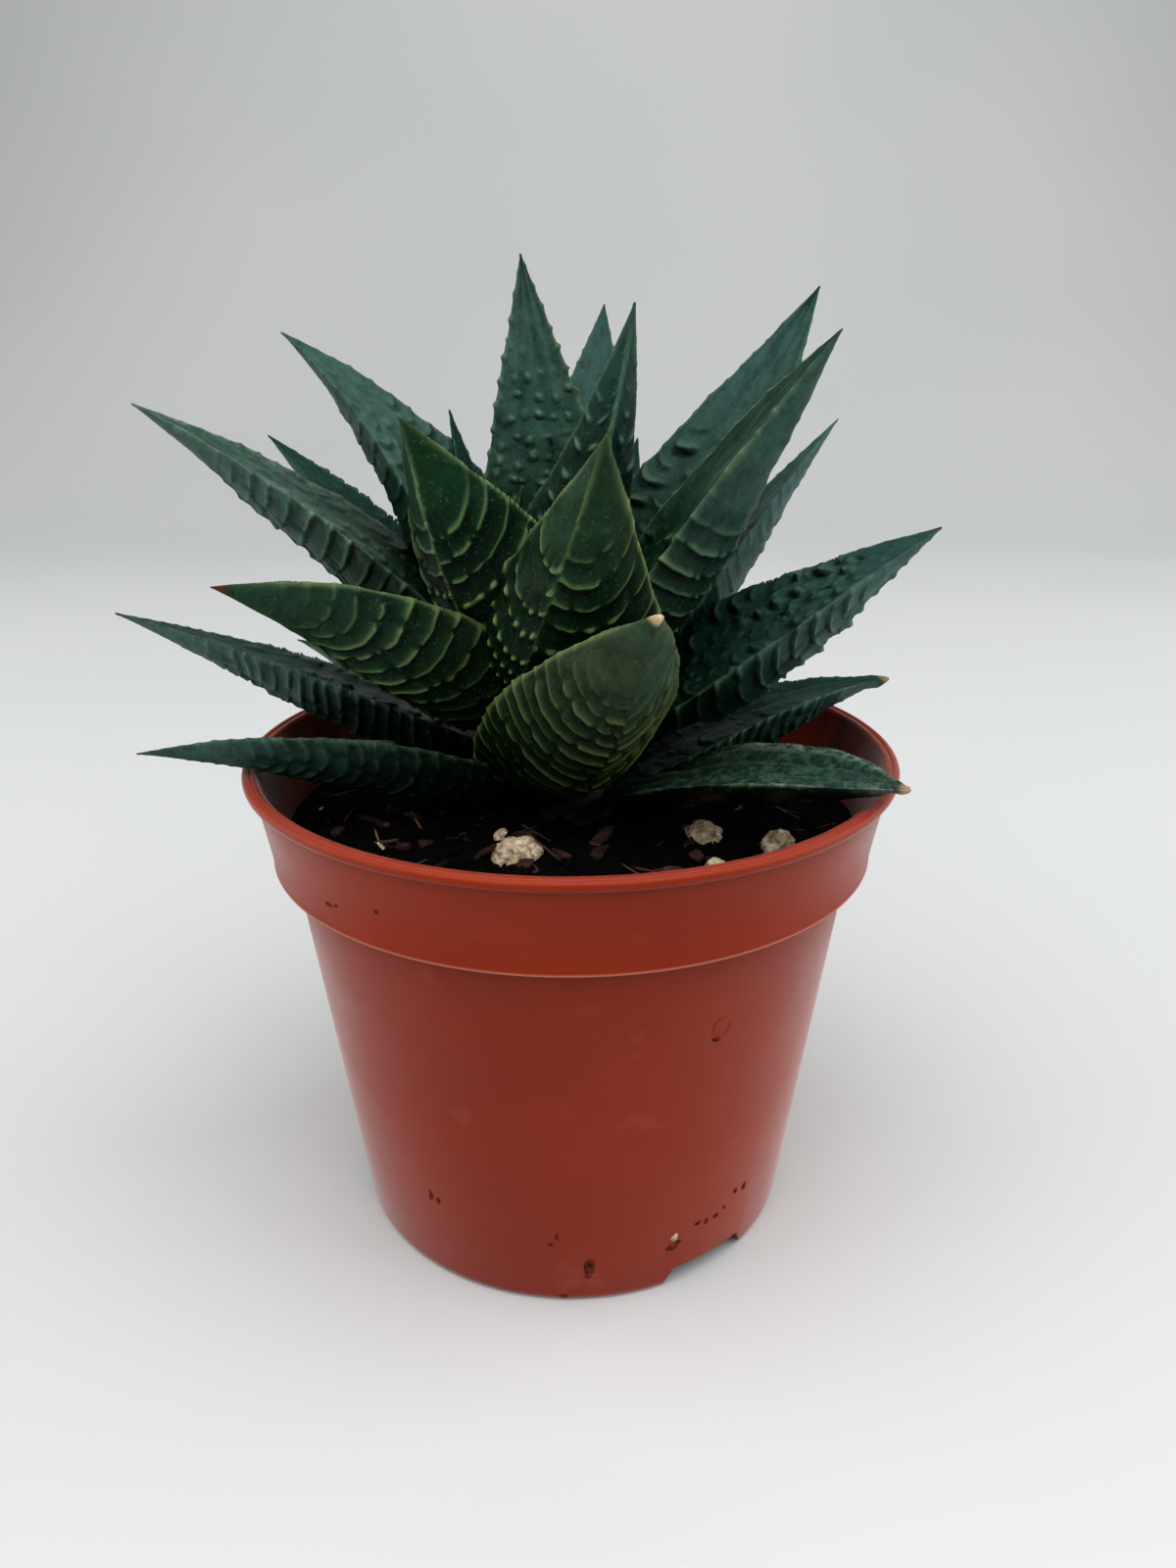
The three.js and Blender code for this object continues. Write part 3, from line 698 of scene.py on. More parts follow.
RIDGE_HEIGHT = 0.72
FULL_PITCH = 3.3
CREST_WIDTH = 0.27
LIP_WIDTH = 0.45
GLOW_WIDTH = 1.1
SHADOW_PLACE = 0.75
SHADOW_WIDTH = 0.5
GAP_WIDTH = 0.4
GAP_STRENGTH = 0.08
BEAD_HEIGHT = 0.55
BEAD_WIDTH = 0.5
BEAD_SPACING = 1.6
DRIFT_STEP = 4.0
RUN_OUT = 12
BLISTER_PITCH = 3.6
BLISTER_HEIGHT = 0.9
OUTER_LANE = (0.58, 0.78)
INNER_LANE = (0.12, 0.34)
BUMP_ALONG = 2.8
BUMP_ACROSS = 2.5
BUMP_REACH = 3.2
MARGIN_WIDTH = 0.26
SCURF_WIDTH = 1.3

# What a leaf is unless its entry says otherwise
PLAIN_LEAF = {
    # The blade: bow bends it (below 0 it arches and its tip droops), roll turns its upper face,
    # turn is how far around the stem its foot sits, hinge how far its keel lies to one side, blunt
    # the half width of a blunt tip, and facet the size of its drawn faces. fullness keeps it broad
    # nearer to its tip.
    "bow": 0, "roll": 0, "turn": 0, "hinge": 0, "blunt": 0, "facet": 0.235, "fullness": 1.38,
    # The keeled side: pitch is the ridges' spacing, and left_arc and right_arc give, for each
    # cheek, where a ridge comes nearest the foot (0 keel, 1 margin) and how far it sweeps tipwards
    # at the keel and at the margin. beaded and ridged are the shares of the length where beads
    # turn to ridges and where ridges fade out, raised is the ridges' height against the full one,
    # gappy the share of their pieces that is missing on the left and right cheek, shade how dark
    # the painted shade is between them, and spine how far the keel's own line stands out.
    "pitch": FULL_PITCH, "left_arc": (0.6, 3.0, 1.2), "right_arc": (0.6, 3.0, 1.2),
    "beaded": 0.28, "ridged": 0.86, "raised": 1, "gappy": (0, 0), "painted_shade": 0.4, "spine": 0.5,
    # The upper face: blisters lie along its margins, left_blisters being the left ones' share of
    # the right ones, and inner_blisters nearer its middle, with bumps of bump_size between them as
    # far as bumped. furrows is the depth of its lengthwise channels, and toothed the height of the
    # teeth on its margins.
    "blisters": 0.6, "left_blisters": 1, "inner_blisters": 0, "bumps": 0.4, "bump_size": 1,
    "bumped": 0.7, "furrows": 0.05, "toothed": 0.22,
    # The colour: crest is how pale the crests are and how strong the ridges' painted light and
    # shade are, warm is olive against blue-green, grey the ashen bloom on the keeled side, bloom
    # the same on the upper face, where it is partly a painted sheen, dusty the pale scurf, dry the
    # length of the dried tip, and bleached whether that is brown (0) or pale (1).
    "crest": 0.45, "warm": 0.3, "grey": 0, "bloom_and_sheen": 0, "dusty": 0, "dry": 0, "bleached": 0,
}
# A far leaf shows little in front, and is drawn a little more coarsely
FAR_LEAF = {"warm": 0.1, "facet": 0.36}
LEAF_SIZES = ("azimuth", "rise", "length", "width", "keel", "foot")
LEAVES = (
    ("heart_left", (250, 80, 17, 7, 3.5, 82), {"warm": 0.5}),
    ("heart_right", (110, 78, 19, 7, 3.5, 81), {"warm": 0.5}),
    ("centre_high", (52.2, 71.8, 42, 14.4, 5.3, 80),
     {"bow": 0.04, "roll": -44.4, "turn": -80.6, "fullness": 1.11, "toothed": 0.1, "warm": 0.2,
      "beaded": 0.85, "ridged": 0.85, "raised": 0.5, "gappy": (0.6, 0.6), "spine": 1.4,
      "crest": 0.8, "grey": 0.1}),
    ("back_left_high", (195.1, 73.2, 50, 20.7, 6, 78.2),
     {"bow": -0.026, "roll": -5.2, "turn": -26.1, "fullness": 1.02, "toothed": 0.4, "warm": 0.4,
      "bloom_and_sheen": 0.65, "blisters": 0.2, "bumped": 0.8, "bumps": 1, "furrows": 0.12}),
    ("left_front_mid", (319.4, 50.1, 36.3, 24.2, 9.2, 80.3),
     {"bow": -0.009, "roll": 10.6, "turn": 34.7, "fullness": 1.42, "left_arc": (0.3, 0.6, 4.5),
      "right_arc": (0.1, 0.1, 5.5), "beaded": 0.45, "ridged": 0.8, "painted_shade": 0.65,
      "toothed": 0.08, "spine": 1, "crest": 1, "warm": 0.55}),
    ("sliver", (240, 65, 37, 9, 4, 74), {"warm": 0.1}),
    ("back_high", (170, 48.2, 60, 17.2, 6, 76), {**FAR_LEAF, "bloom_and_sheen": 0.4}),
    ("right_high", (112.5, 48, 56.7, 23.2, 7.5, 80.2),
     {"bow": 0.02, "roll": 18.6, "turn": -2.8, "toothed": 0.15, "warm": 0.15, "blisters": 1.1,
      "left_blisters": 0.15, "inner_blisters": 0.8, "bumped": 0.62, "bumps": 0.25,
      "furrows": 0.14, "bloom_and_sheen": 0.5}),
    ("front_mid", (12.3, 47.9, 43.5, 25.7, 9, 75),
     {"bow": 0.037, "roll": -23.2, "turn": -7.8, "hinge": -0.31, "fullness": 1.07,
      "left_arc": (0.3, 0.8, 3.5), "right_arc": (0.35, 1.2, 6.5), "beaded": 0.5, "ridged": 0.8,
      "gappy": (0.25, 0.12), "painted_shade": 0.45, "toothed": 0.08, "spine": 0.7, "crest": 1,
      "warm": 0.7, "grey": 0.15}),
    ("left_high", (259.2, 47.6, 49.8, 22.3, 9.7, 80),
     {"bow": -0.084, "roll": -13, "turn": -35.1, "fullness": 1.1, "toothed": 0.25, "raised": 0.5,
      "crest": 0.2, "warm": 0.3, "grey": 0.7, "bloom_and_sheen": 0.7, "bumped": 0.8, "bumps": 0.55,
      "bump_size": 1.4, "blisters": 0.5}),
    ("right_mid", (58.3, 50.5, 56.5, 18, 8.7, 73.5),
     {"bow": -0.034, "roll": 29.4, "turn": -60, "fullness": 1.65, "left_arc": (0.45, 1.0, 0.8),
      "ridged": 0.66, "crest": 0.9, "warm": 0.35, "grey": 0.6, "bumped": 0.6, "bumps": 0.5,
      "blisters": 1.3}),
    ("back_mid", (152, 56, 40, 13, 6, 70), FAR_LEAF),
    ("back_left_mid", (215, 34, 47, 15, 6.5, 72), {**FAR_LEAF, "bow": -0.03}),
    ("left_mid", (272.1, 33.5, 60.4, 18, 7, 75.4),
     {"bow": -0.055, "roll": -1.5, "turn": -18, "fullness": 1.75, "right_arc": (0.5, 1.0, 0.7),
      "beaded": 0.1, "raised": 0.9, "crest": 0.3, "warm": 0.35, "grey": 1, "bloom_and_sheen": 0.45,
      "dusty": 0.7, "bumps": 0.6, "furrows": 0.12, "blisters": 0.4}),
    ("right_back_mid", (121.3, 38.4, 58, 14.8, 7, 69.4),
     {**FAR_LEAF, "bow": -0.02, "roll": -14.6, "turn": -9.4, "fullness": 1.08, "raised": 0.5,
      "crest": 0.2, "grey": 0.8, "bloom_and_sheen": 0.6}),
    ("left_front_low", (302, 26, 49, 19.3, 8.9, 69.5),
     {"bow": -0.094, "roll": 25.2, "turn": 10.6, "fullness": 1.87, "right_arc": (0.68, 6.5, 0.6),
      "beaded": 0.12, "ridged": 0.84, "painted_shade": 0.5, "toothed": 0.08, "spine": 0.3, "crest": 0.75,
      "warm": 0.65, "grey": 0.25, "dry": 2.2}),
    ("right_low", (81, 28.2, 52.8, 20, 10.1, 70),
     {"bow": -0.015, "roll": 18.1, "turn": 6.5, "fullness": 1.4, "left_arc": (0.5, 2.6, 2.6),
      "beaded": 0.1, "toothed": 0.15, "spine": 2.5, "blisters": 1.8, "left_blisters": 0.5,
      "inner_blisters": 1.2, "bumped": 0.9, "bumps": 0.6, "bump_size": 1.25, "crest": 0.35,
      "warm": 0.15, "grey": 0.9, "bloom_and_sheen": 0.35, "dry": 0.8}),
    ("left_back_mid", (242, 34, 56, 16, 7.5, 72), {**FAR_LEAF, "bow": -0.03}),
    ("back_right_mid", (164, 33, 48, 15, 7, 69), {**FAR_LEAF, "bow": -0.04}),
    ("back_low", (182, 24, 60, 17, 8, 67), {**FAR_LEAF, "bow": -0.05}),
    ("right_back_low", (148, 13, 53, 16, 7, 62), {**FAR_LEAF, "bow": -0.05}),
    ("back_left_low", (207, 11, 54, 15, 6.5, 62), {**FAR_LEAF, "bow": -0.05}),
    ("left_low", (262.8, 15.5, 64.3, 14.4, 6.9, 64),
     {"bow": -0.024, "roll": 7.4, "fullness": 1.33, "pitch": 2.4, "right_arc": (0.5, 0.8, 0.5),
      "beaded": 0.05, "crest": 0.35, "warm": 0.05, "grey": 0.9, "dusty": 0.4, "dry": 1.2}),
    ("front_low", (18, 41, 42, 23, 9.5, 62),
     {"bow": -0.04, "roll": -4, "turn": -60, "blunt": 1.1, "fullness": 2.2, "pitch": 2.3,
      "left_arc": (0.3, 0.8, 5.0), "right_arc": (0.05, 0.1, 8.0), "ridged": 0.82, "beaded": 0,
      "painted_shade": 0.5, "toothed": 0.08, "spine": 0, "crest": 0.6, "warm": 0.95, "grey": 0.7,
      "dry": 1.4, "bleached": 1}),
    ("right_blunt", (104.7, 12.5, 47.5, 14.5, 8.5, 60.7),
     {"bow": -0.061, "roll": 4.2, "turn": -4.3, "blunt": 1.4, "fullness": 1.35, "pitch": 2.4,
      "beaded": 0.1, "crest": 0.3, "warm": 0.1, "grey": 0.6, "dry": 1.8, "bleached": 0.3}),
    ("left_back_low", (232, 10, 57, 14, 6, 61), {**FAR_LEAF, "bow": -0.04}),
    ("left_drooping", (286.3, 10.1, 55.6, 13.3, 5.8, 59.4),
     {"bow": -0.072, "roll": 21.1, "turn": 11.8, "fullness": 1.82, "pitch": 2.6, "raised": 0.8,
      "crest": 0.15, "warm": 0.2, "grey": 0.55, "dusty": 0.6, "dry": 1.4}),
    ("right_drooping", (57.1, 11, 46.9, 17.4, 4.8, 59.2),
     {"bow": -0.077, "roll": 1.1, "turn": 2.5, "blunt": 0.9, "fullness": 3.37, "bumped": 0.9,
      "bumps": 0.25, "blisters": 0, "furrows": 0.4, "raised": 0.25, "toothed": 0, "crest": 0.15,
      "dusty": 1.2, "warm": 0.3, "dry": 1.6, "bleached": 0.6}),
)


def unit(vectors):
    return vectors / np.linalg.norm(vectors, axis=-1, keepdims=True)


def leaf_line(leaf, share):
    """Points of a leaf's middle line at shares of its length, with its own across and up."""
    outward, side = heading(leaf["azimuth"]), heading(leaf["azimuth"] + 90)
    rise, roll = math.radians(leaf["rise"]), math.radians(leaf["roll"])
    upright = np.array([0, 0, 1])
    middle = stem_middle(leaf["foot"])
    foot = middle + LEAF_SEAT * heading(leaf["azimuth"] + leaf["turn"])
    tip = middle + leaf["length"] * (math.cos(rise) * outward + math.sin(rise) * upright)
    below = math.sin(rise) * outward - math.cos(rise) * upright
    knee = (foot + tip) / 2 + 2 * leaf["bow"] * leaf["length"] * below
    s = share[:, None]
    line = (1 - s) ** 2 * foot + 2 * s * (1 - s) * knee + s * s * tip
    near = np.clip(s, 0, 1)
    along = unit((1 - near) * (knee - foot) + near * (tip - knee))
    flat = unit(side - (along @ side)[:, None] * along)
    risen = np.cross(along, flat)
    across = flat * math.cos(roll) + risen * math.sin(roll)
    return line, across, np.cross(along, across)


def leaf_girth(leaf, share):
    """Half the width and the depth of the keel at shares of the length."""
    at = np.clip(share, 0, 1)
    end = max(leaf["blunt"], FINEST_POINT)
    rounded = np.sqrt(np.clip((1 - at) * leaf["length"] / (1.3 * end), 0, 1))
    closed = np.sqrt(np.clip((share - LEAF_ROOT) * leaf["length"] / 2, 0, 1))

    def profile(full, at_foot, fullest):
        """A measure that grows from a share of it at the foot to all of it, and then tapers."""
        swell = at_foot + (1 - at_foot) * np.sin(math.pi / 2 * np.minimum(at / fullest, 1))
        taper = 1 - np.maximum((at - fullest) / (1 - fullest), 0) ** leaf["fullness"]
        return np.maximum(full * swell * taper, end) * rounded * closed

    return profile(leaf["width"] / 2, 0.72, 0.25), profile(leaf["keel"], 0.35, 0.35)


def arc_bend(leaf, across):
    """How far tipwards in mm a ridge lies at each place across the keeled side."""
    cheek = np.abs(across)
    bend = np.zeros(len(across))
    for chosen, arc in ((across <= 0, leaf["left_arc"]), (across > 0, leaf["right_arc"])):
        lowest, at_keel, at_margin = arc
        inward = np.clip((lowest - cheek) / lowest, 0, 1)
        outward = np.clip((cheek - lowest) / (1 - lowest), 0, 1)
        bend[chosen] = (at_keel * inward ** 2.2 + at_margin * outward ** 2)[chosen]
    return bend


def along_ridges(place, across, pitch, leaf, chance):
    """For each point, the number of the ridge that it lies on, and its way past that crest."""
    knots = np.arange(-RUN_OUT, leaf["length"] + RUN_OUT, DRIFT_STEP)
    drift = np.interp(place, knots, chance.uniform(-0.2, 0.2, len(knots)))
    sway = 0.16 * np.sin(5 * across + 0.45 * place + chance.uniform(0, 6))
    turns = (place + sway) / pitch * (1 + 0.1 * place / leaf["length"]) + drift
    turns += 0.4 * (across > 0) + 8
    number = np.floor(turns).astype(int)
    return number, turns - number


def ridge_relief(leaf, row, share, across, half, chance):
    """The ridges of the keeled side, which lie like tiles with their thick, pale rims towards the
    foot. Gives for each point the height in mm, a tone of pale rims and painted light and shade
    from -1 in a rim's painted shadow to 1 on a rim, and how nearly a ridge meets the margin there."""
    pitch = leaf["pitch"]
    number, past = along_ridges(row * leaf["length"], across, pitch, leaf, chance)
    cheek = np.abs(across)
    side = (across > 0).astype(int)
    ridges = int(number.max()) + 3
    breaks = np.sort(chance.uniform(0.02, 1.4, (2, ridges, 4)))
    shifts = chance.uniform(-0.25, 0.25, (2, ridges, 5)) * min(pitch / FULL_PITCH, 1)
    strengths = chance.uniform(0.6, 1.1, (2, ridges, 5))
    phases = chance.uniform(0, 2 * math.pi, (2, ridges))
    if any(leaf["gappy"]):
        missing = chance.random(strengths.shape) < np.reshape(leaf["gappy"], (2, 1, 1))
        strengths = np.where(missing, GAP_STRENGTH, strengths)
    beaded = 1 - smoothstep(share + 0.05 * np.sin(9 * across), leaf["beaded"] - 0.05,
                            leaf["beaded"] + 0.07)

    def tile(n, reach):
        """Height and tone of ridge n, at a distance tipwards of its crest."""
        gaps = breaks[side, n]
        off = (np.abs(cheek[:, None] - gaps) * half[:, None]).min(axis=1)
        piece = (gaps < cheek[:, None]).sum(axis=1)
        wave = np.cos(2 * math.pi * cheek * half / BEAD_SPACING + phases[side, n])
        ragged = 0.07 * np.sin(4.1 * cheek * half + 2 * phases[side, n])
        way = reach - shifts[side, n, piece] - ragged - 0.4 * np.exp(-off / 0.5)
        strong = strengths[side, n, piece] * (0.12 + 0.88 * smoothstep(off, 0.02, GAP_WIDTH))
        strong = strong * (1 - beaded) + beaded * (0.5 + 0.5 * wave) ** 1.2
        rise = smoothstep(way, -0.3, 0.05)
        plate = 0.4 * np.exp(-(np.maximum(way, 0) / LIP_WIDTH) ** 2)
        plate += 0.6 * (1 - np.clip(way / pitch, 0, 1) ** 1.2)
        bead = np.exp(-(way / BEAD_WIDTH) ** 2) * BEAD_HEIGHT / RIDGE_HEIGHT
        rim = np.exp(-((way - 0.06) / (CREST_WIDTH * (1 + 0.5 * beaded))) ** 2)
        # Painted light: a paler band on the tile's face just tipward of its rim
        painted_glow = 0.5 * (way > 0) * np.exp(-(np.maximum(way, 0) / GLOW_WIDTH) ** 1.5) * (1 - beaded)
        # Painted shadow: a dark band just footward of each rim
        shadow = np.exp(-((way + SHADOW_PLACE) / SHADOW_WIDTH) ** 2)
        height = strong * (rise * plate * (1 - beaded) + bead * beaded)
        return height, strong * np.maximum(rim, painted_glow * rise), strong * shadow

    after, before = past * pitch, (1 - past) * pitch
    here, here_pale, _ = tile(number, after)
    there, there_pale, shadow = tile(number + 1, -before)
    fade = 1 - smoothstep(share, leaf["ridged"] - 0.22, leaf["ridged"])
    height = fade * np.maximum(here, there) * RIDGE_HEIGHT * min(pitch / FULL_PITCH, 1)
    height *= leaf["raised"]
    pale = np.maximum(here_pale, there_pale)
    plain = 1 - np.clip(2 * pale, 0, 1)
    # Between the ridges the skin is darkened by painted shade, darkest in each rim's painted shadow
    tone = fade * (pale - (0.95 * shadow + leaf["painted_shade"] * (1 - shadow)) * plain)
    near = np.exp(-(np.minimum(after, before) / 0.5) ** 2)
    return height, tone, near * strengths[side, np.where(past < 0.5, number, number + 1), 0]


def blister_relief(leaf, share, across, half, lane, strength, chance):
    """Height in mm and tone of the short, thick folds in a lane along each side of the upper
    face, the lane being how far out its folds' middles lie (0 middle, 1 margin). The tone is
    painted light on each fold and painted shade in the hollow before the next."""
    cheek = np.abs(across)
    place = share * leaf["length"] - 1.1 * ((cheek - sum(lane) / 2) / 0.25) ** 2
    number, past = along_ridges(place, across, BLISTER_PITCH, leaf, chance)
    side = (across > 0).astype(int)
    folds = (2, int(number.max()) + 3)
    strength = np.clip(chance.uniform(0, 1.3, folds) * strength, 0, 1.1)
    strength[0] *= leaf["left_blisters"]
    middle, reach = chance.uniform(*lane, folds), chance.uniform(0.14, 0.27, folds)
    within = smoothstep(half, 2, 6)
    within *= 1 - smoothstep(share, leaf["bumped"] - 0.15, leaf["bumped"] + 0.05)

    def strong(n):
        window = np.exp(-((cheek - middle[side, n]) / reach[side, n]) ** 4)
        return within * window * strength[side, n]

    here, next_one = strong(number), strong(number + 1)
    after, before = past * BLISTER_PITCH, (1 - past) * BLISTER_PITCH
    climb = 1 - smoothstep(before, -0.05, 0.6)
    height = (1 - past ** 1.3) * here * (1 - climb) + climb * next_one
    # Painted light on each fold's near part, and painted shade in the hollow at the next one's foot
    tone = 0.35 * here * np.exp(-((after - 0.3) / 0.7) ** 2)
    tone -= 1.1 * next_one * np.exp(-((before - 0.7) / 0.6) ** 2)
    return BLISTER_HEIGHT * height, tone


def bump_relief(leaf, share, across, half, chance):
    """Height in mm and tone of the round bumps in rows along the upper face. Each is pale on its
    top and has a painted shadow as a crescent on its foot side."""
    place = share * leaf["length"]
    rows = np.arange(1.5, leaf["length"] * leaf["bumped"], BUMP_ALONG)
    height, pale, painted_shade = np.zeros((3, len(share)))
    for number, row in enumerate(rows):
        near = np.abs(place - row) < BUMP_REACH
        if not near.any():
            continue
        count = max(int(np.max(half[near]) * 2 / BUMP_ACROSS), 2)
        fade = 1 - smoothstep(row / leaf["length"], leaf["bumped"] - 0.2, leaf["bumped"])
        for column in range(count + number % 2):
            spot = -1 + (2 * column + (1 if number % 2 == 0 else 0)) / count
            spot = spot * 0.84 + chance.normal(0, 0.06)
            along = row + chance.normal(0, 0.5)
            long, wide = chance.uniform(0.4, 0.75), chance.uniform(0.35, 0.6)
            long, wide = long * leaf["bump_size"], wide * leaf["bump_size"]
            rise = chance.uniform(0.3, 1.0) * (0.25 + 0.75 * fade) * leaf["bumps"]
            ahead = (place[near] - along) / long
            away = np.hypot(ahead, (across[near] - spot) * half[near] / wide)
            dome = rise * np.clip(1 - away ** 2, 0, 1)
            height[near] = np.maximum(height[near], 0.5 * dome ** 0.8)
            pale[near] = np.maximum(pale[near], 0.7 * dome)
            # Painted shadow: a dark crescent on each bump's foot side
            crescent = np.exp(-((away - 1.25) / 0.3) ** 2) * smoothstep(-ahead, 0, 0.9)
            painted_shade[near] = np.maximum(painted_shade[near], rise * crescent)
    return height, np.where(pale > 0.03, pale, -0.9 * painted_shade)


def upper_relief(leaf, share, across, half, chance):
    """Height in mm and tone of the upper face's folds, bumps and channels."""
    folds, fold_tone = np.zeros((2, len(share)))
    for lane, strength in ((OUTER_LANE, "blisters"), (INNER_LANE, "inner_blisters")):
        if leaf[strength]:
            rise, tone = blister_relief(leaf, share, across, half, lane, leaf[strength], chance)
            fold_tone = np.where(np.abs(tone) > np.abs(fold_tone), tone, fold_tone)
            folds = np.maximum(folds, rise)
    bumps, bump_tone = bump_relief(leaf, share, across, half, chance)
    furrow = leaf["furrows"] * np.sin(11 * across + 0.6 * np.sin(4 * share)) * (1 - across ** 4)
    tone = np.where(np.abs(fold_tone) > np.abs(bump_tone), fold_tone, bump_tone)
    # Where no fold or bump is, painted shade darkens the bottoms of the lengthwise channels
    tone = np.where(np.abs(tone) > 0.08, tone, np.minimum(1.3 * furrow, 0))
    return np.maximum(folds, bumps) + furrow, tone


def skin_relief(leaf, row, share, across, above, half, chance):
    """Height in mm and tone of the whole skin: both sides, the toothed margins and the keel's
    line, and slow swells under them."""
    ridges, ridge_tone, tooth = ridge_relief(leaf, row, share, across, half, chance)
    hills, hill_tone = upper_relief(leaf, share, across, half, chance)
    cheek = np.abs(across)
    contrast = 0.15 + 0.85 * leaf["crest"]
    # Towards the foot the keeled side darkens: partly the leaf's own darker foot, partly painted
    # shade of the rosette's heart
    darker_foot_and_shade = 0.45 * (1 - smoothstep(share, 0.08, 0.42)) * (1 - np.clip(ridge_tone, 0, 1))
    tone = np.where(above, hill_tone, ridge_tone * contrast - darker_foot_and_shade)
    margin = np.exp(-((1 - cheek) * half / MARGIN_WIDTH) ** 2)
    spine = leaf["spine"] * np.where(above, 0, np.exp(-(cheek * half / MARGIN_WIDTH) ** 2))
    present = smoothstep(share, 0.02, 0.12) * (1 - 0.75 * smoothstep(share, 0.8, 0.97))
    height = np.where(above, hills, ridges) * (1 - 0.5 * margin)
    height += (margin + spine) * present * (0.1 + leaf["toothed"] * tooth)
    line = np.minimum(np.maximum(margin, spine), 1)
    edge = (0.6 + 0.3 * tooth) * present * line * contrast
    tone = np.where(tone < 0, tone * (1 - line) + edge * line, np.maximum(tone, edge))
    place = share * leaf["length"]
    swell = 0.12 * np.sin(0.35 * place + 2.2 * across + chance.uniform(0, 6))
    swell += 0.08 * np.sin(0.9 * place - 3.1 * across + chance.uniform(0, 6))
    return height + swell * smoothstep(half, 1, 4), tone


def leaf_ball(name, leaf):
    """A ball with the leaf's count of points. Gives it with each point's place along the leaf,
    its place across from one margin (-1) to the other (1), and whether it is on the upper face."""
    rings = int(leaf["length"] * (1 - LEAF_ROOT) / leaf["facet"])
    upper = 2 * int(leaf["width"] / (COLUMN_FACETS * leaf["facet"]) / 2)
    lower = 2 * int(upper * (1 / UPPER_SHARE - 1) / 2)
    bpy.ops.mesh.primitive_uv_sphere_add(segments=upper + lower, ring_count=rings, radius=1)
    ball = bpy.context.object
    ball.name = name
    points = vertex_places(ball)
    row = LEAF_ROOT + (1 - LEAF_ROOT) * (1 - np.arccos(np.clip(points[:, 2], -1, 1)) / math.pi)
    column = np.arctan2(points[:, 1], points[:, 0]) / (2 * math.pi) % 1 * (upper + lower)
    column = np.round(column) % (upper + lower)
    above = column < upper
    across = np.where(above, 1 - 2 * column / upper, -1 + 2 * (column - upper) / lower)
    return ball, row, across, above


def grow_leaf(name, leaf, chance):
    """One leaf from a ball: latitude becomes the place along it, and longitude the place round
    it, over the upper face and back round the keel. Its rows of points bend as the ridges do, and
    the relief then stands up from the skin."""
    blade, row, across, above = leaf_ball(name, leaf)
    cheek = np.abs(across)
    margin_bend = np.where(across > 0, leaf["right_arc"][2], leaf["left_arc"][2])
    bend = np.where(above, margin_bend * cheek ** 2, arc_bend(leaf, across))
    bend *= smoothstep(row, 0, 0.2) * (1 - smoothstep(row, 0.68, 1))
    share = row + bend / leaf["length"]
    line, side, up = leaf_line(leaf, share)
    half, keel = leaf_girth(leaf, share)
    rise = np.where(above, -UPPER_HOLLOW * half * (1 - cheek ** 2),
                    -keel * (1 - 0.45 * cheek - 0.55 * cheek ** 2.2))
    leant = leaf["hinge"] * (1 - cheek) * ~above
    skin = line + side * ((across + leant) * half)[:, None] + up * rise[:, None]
    blade.data.vertices.foreach_set("co", (skin * MM).ravel())
    blade.data.update()
    normals = np.empty(skin.size)
    blade.data.vertex_normals.foreach_get("vector", normals)
    height, tone = skin_relief(leaf, row, share, across, above, half, chance)
    skin += normals.reshape(-1, 3) * height[:, None]
    blade.data.vertices.foreach_set("co", (skin * MM).ravel())
    blade.data.update()
    bpy.ops.object.shade_smooth()
    from_tip = (1 - share) * leaf["length"]
    near_edge = np.exp(-((1 - cheek) * half / SCURF_WIDTH) ** 2)
    dust = leaf["dusty"] * np.where(above, 0.25 + 0.75 * near_edge, 0.5 * near_edge)
    for stored, values in (
        ("tone", tone),
        ("share", np.clip(share, 0, 1)),
        ("warm", np.clip(leaf["warm"] + 0.3 * (0.4 - share), 0, 1)),
        # On the upper face the ashen grey is partly wax bloom and partly a painted sheen
        ("grey", np.where(above, leaf["bloom_and_sheen"] * smoothstep(share, 0.2, 0.65),
                          leaf["grey"] * smoothstep(share, 0.25, 0.75))),
        ("scurf", dust * smoothstep(share, 0.1, 0.4)),
        ("dry", 1 - smoothstep(from_tip, 0.4 * leaf["dry"], leaf["dry"] + 0.01)),
        ("bleached", np.full(len(share), float(leaf["bleached"]))),
    ):
        set_attribute(blade, stored, values)
    return blade


# Living leaf skin under a thin wax: deep green, blue-green on the high leaves and olive on the low
# front ones, greyer towards the tip, with paler crests and very fine pale flecks. It also carries
# painted light past the crests and on the folds, painted shade in the troughs, beside the bumps and
# towards the foot, and a painted sheen within the upper face's ashen bloom.
# The skin's cells and flecks are drawn far larger than life, so that they show.
leaf_skin = new_material("waxy_leaf_skin", IOR=1.42, Specular_IOR_Level=0.12,
                         Subsurface_Weight=0.05, Subsurface_Scale=0.002)
spot = add_node(leaf_skin, "TexCoord", out="Object")
warm, share, grey, tone, scurf, dry, bleached = (
    add_node(leaf_skin, "Attribute", attribute_name=stored, out="Fac")
    for stored in ("warm", "share", "grey", "tone", "scurf", "dry", "bleached"))
cloud = add_node(leaf_skin, "TexNoise",
                 {"Vector": spot, "Scale": marks_of(8.33), "Detail": 3.0})
varied = add_node(leaf_skin, "MapRange",
                  {"Value": cloud, LOW: 0.3, HIGH: 0.7, LEAST: -0.12, MOST: 0.12})
hue = add_node(leaf_skin, "Math", {FIRST: varied, SECOND: warm}, operation="ADD")
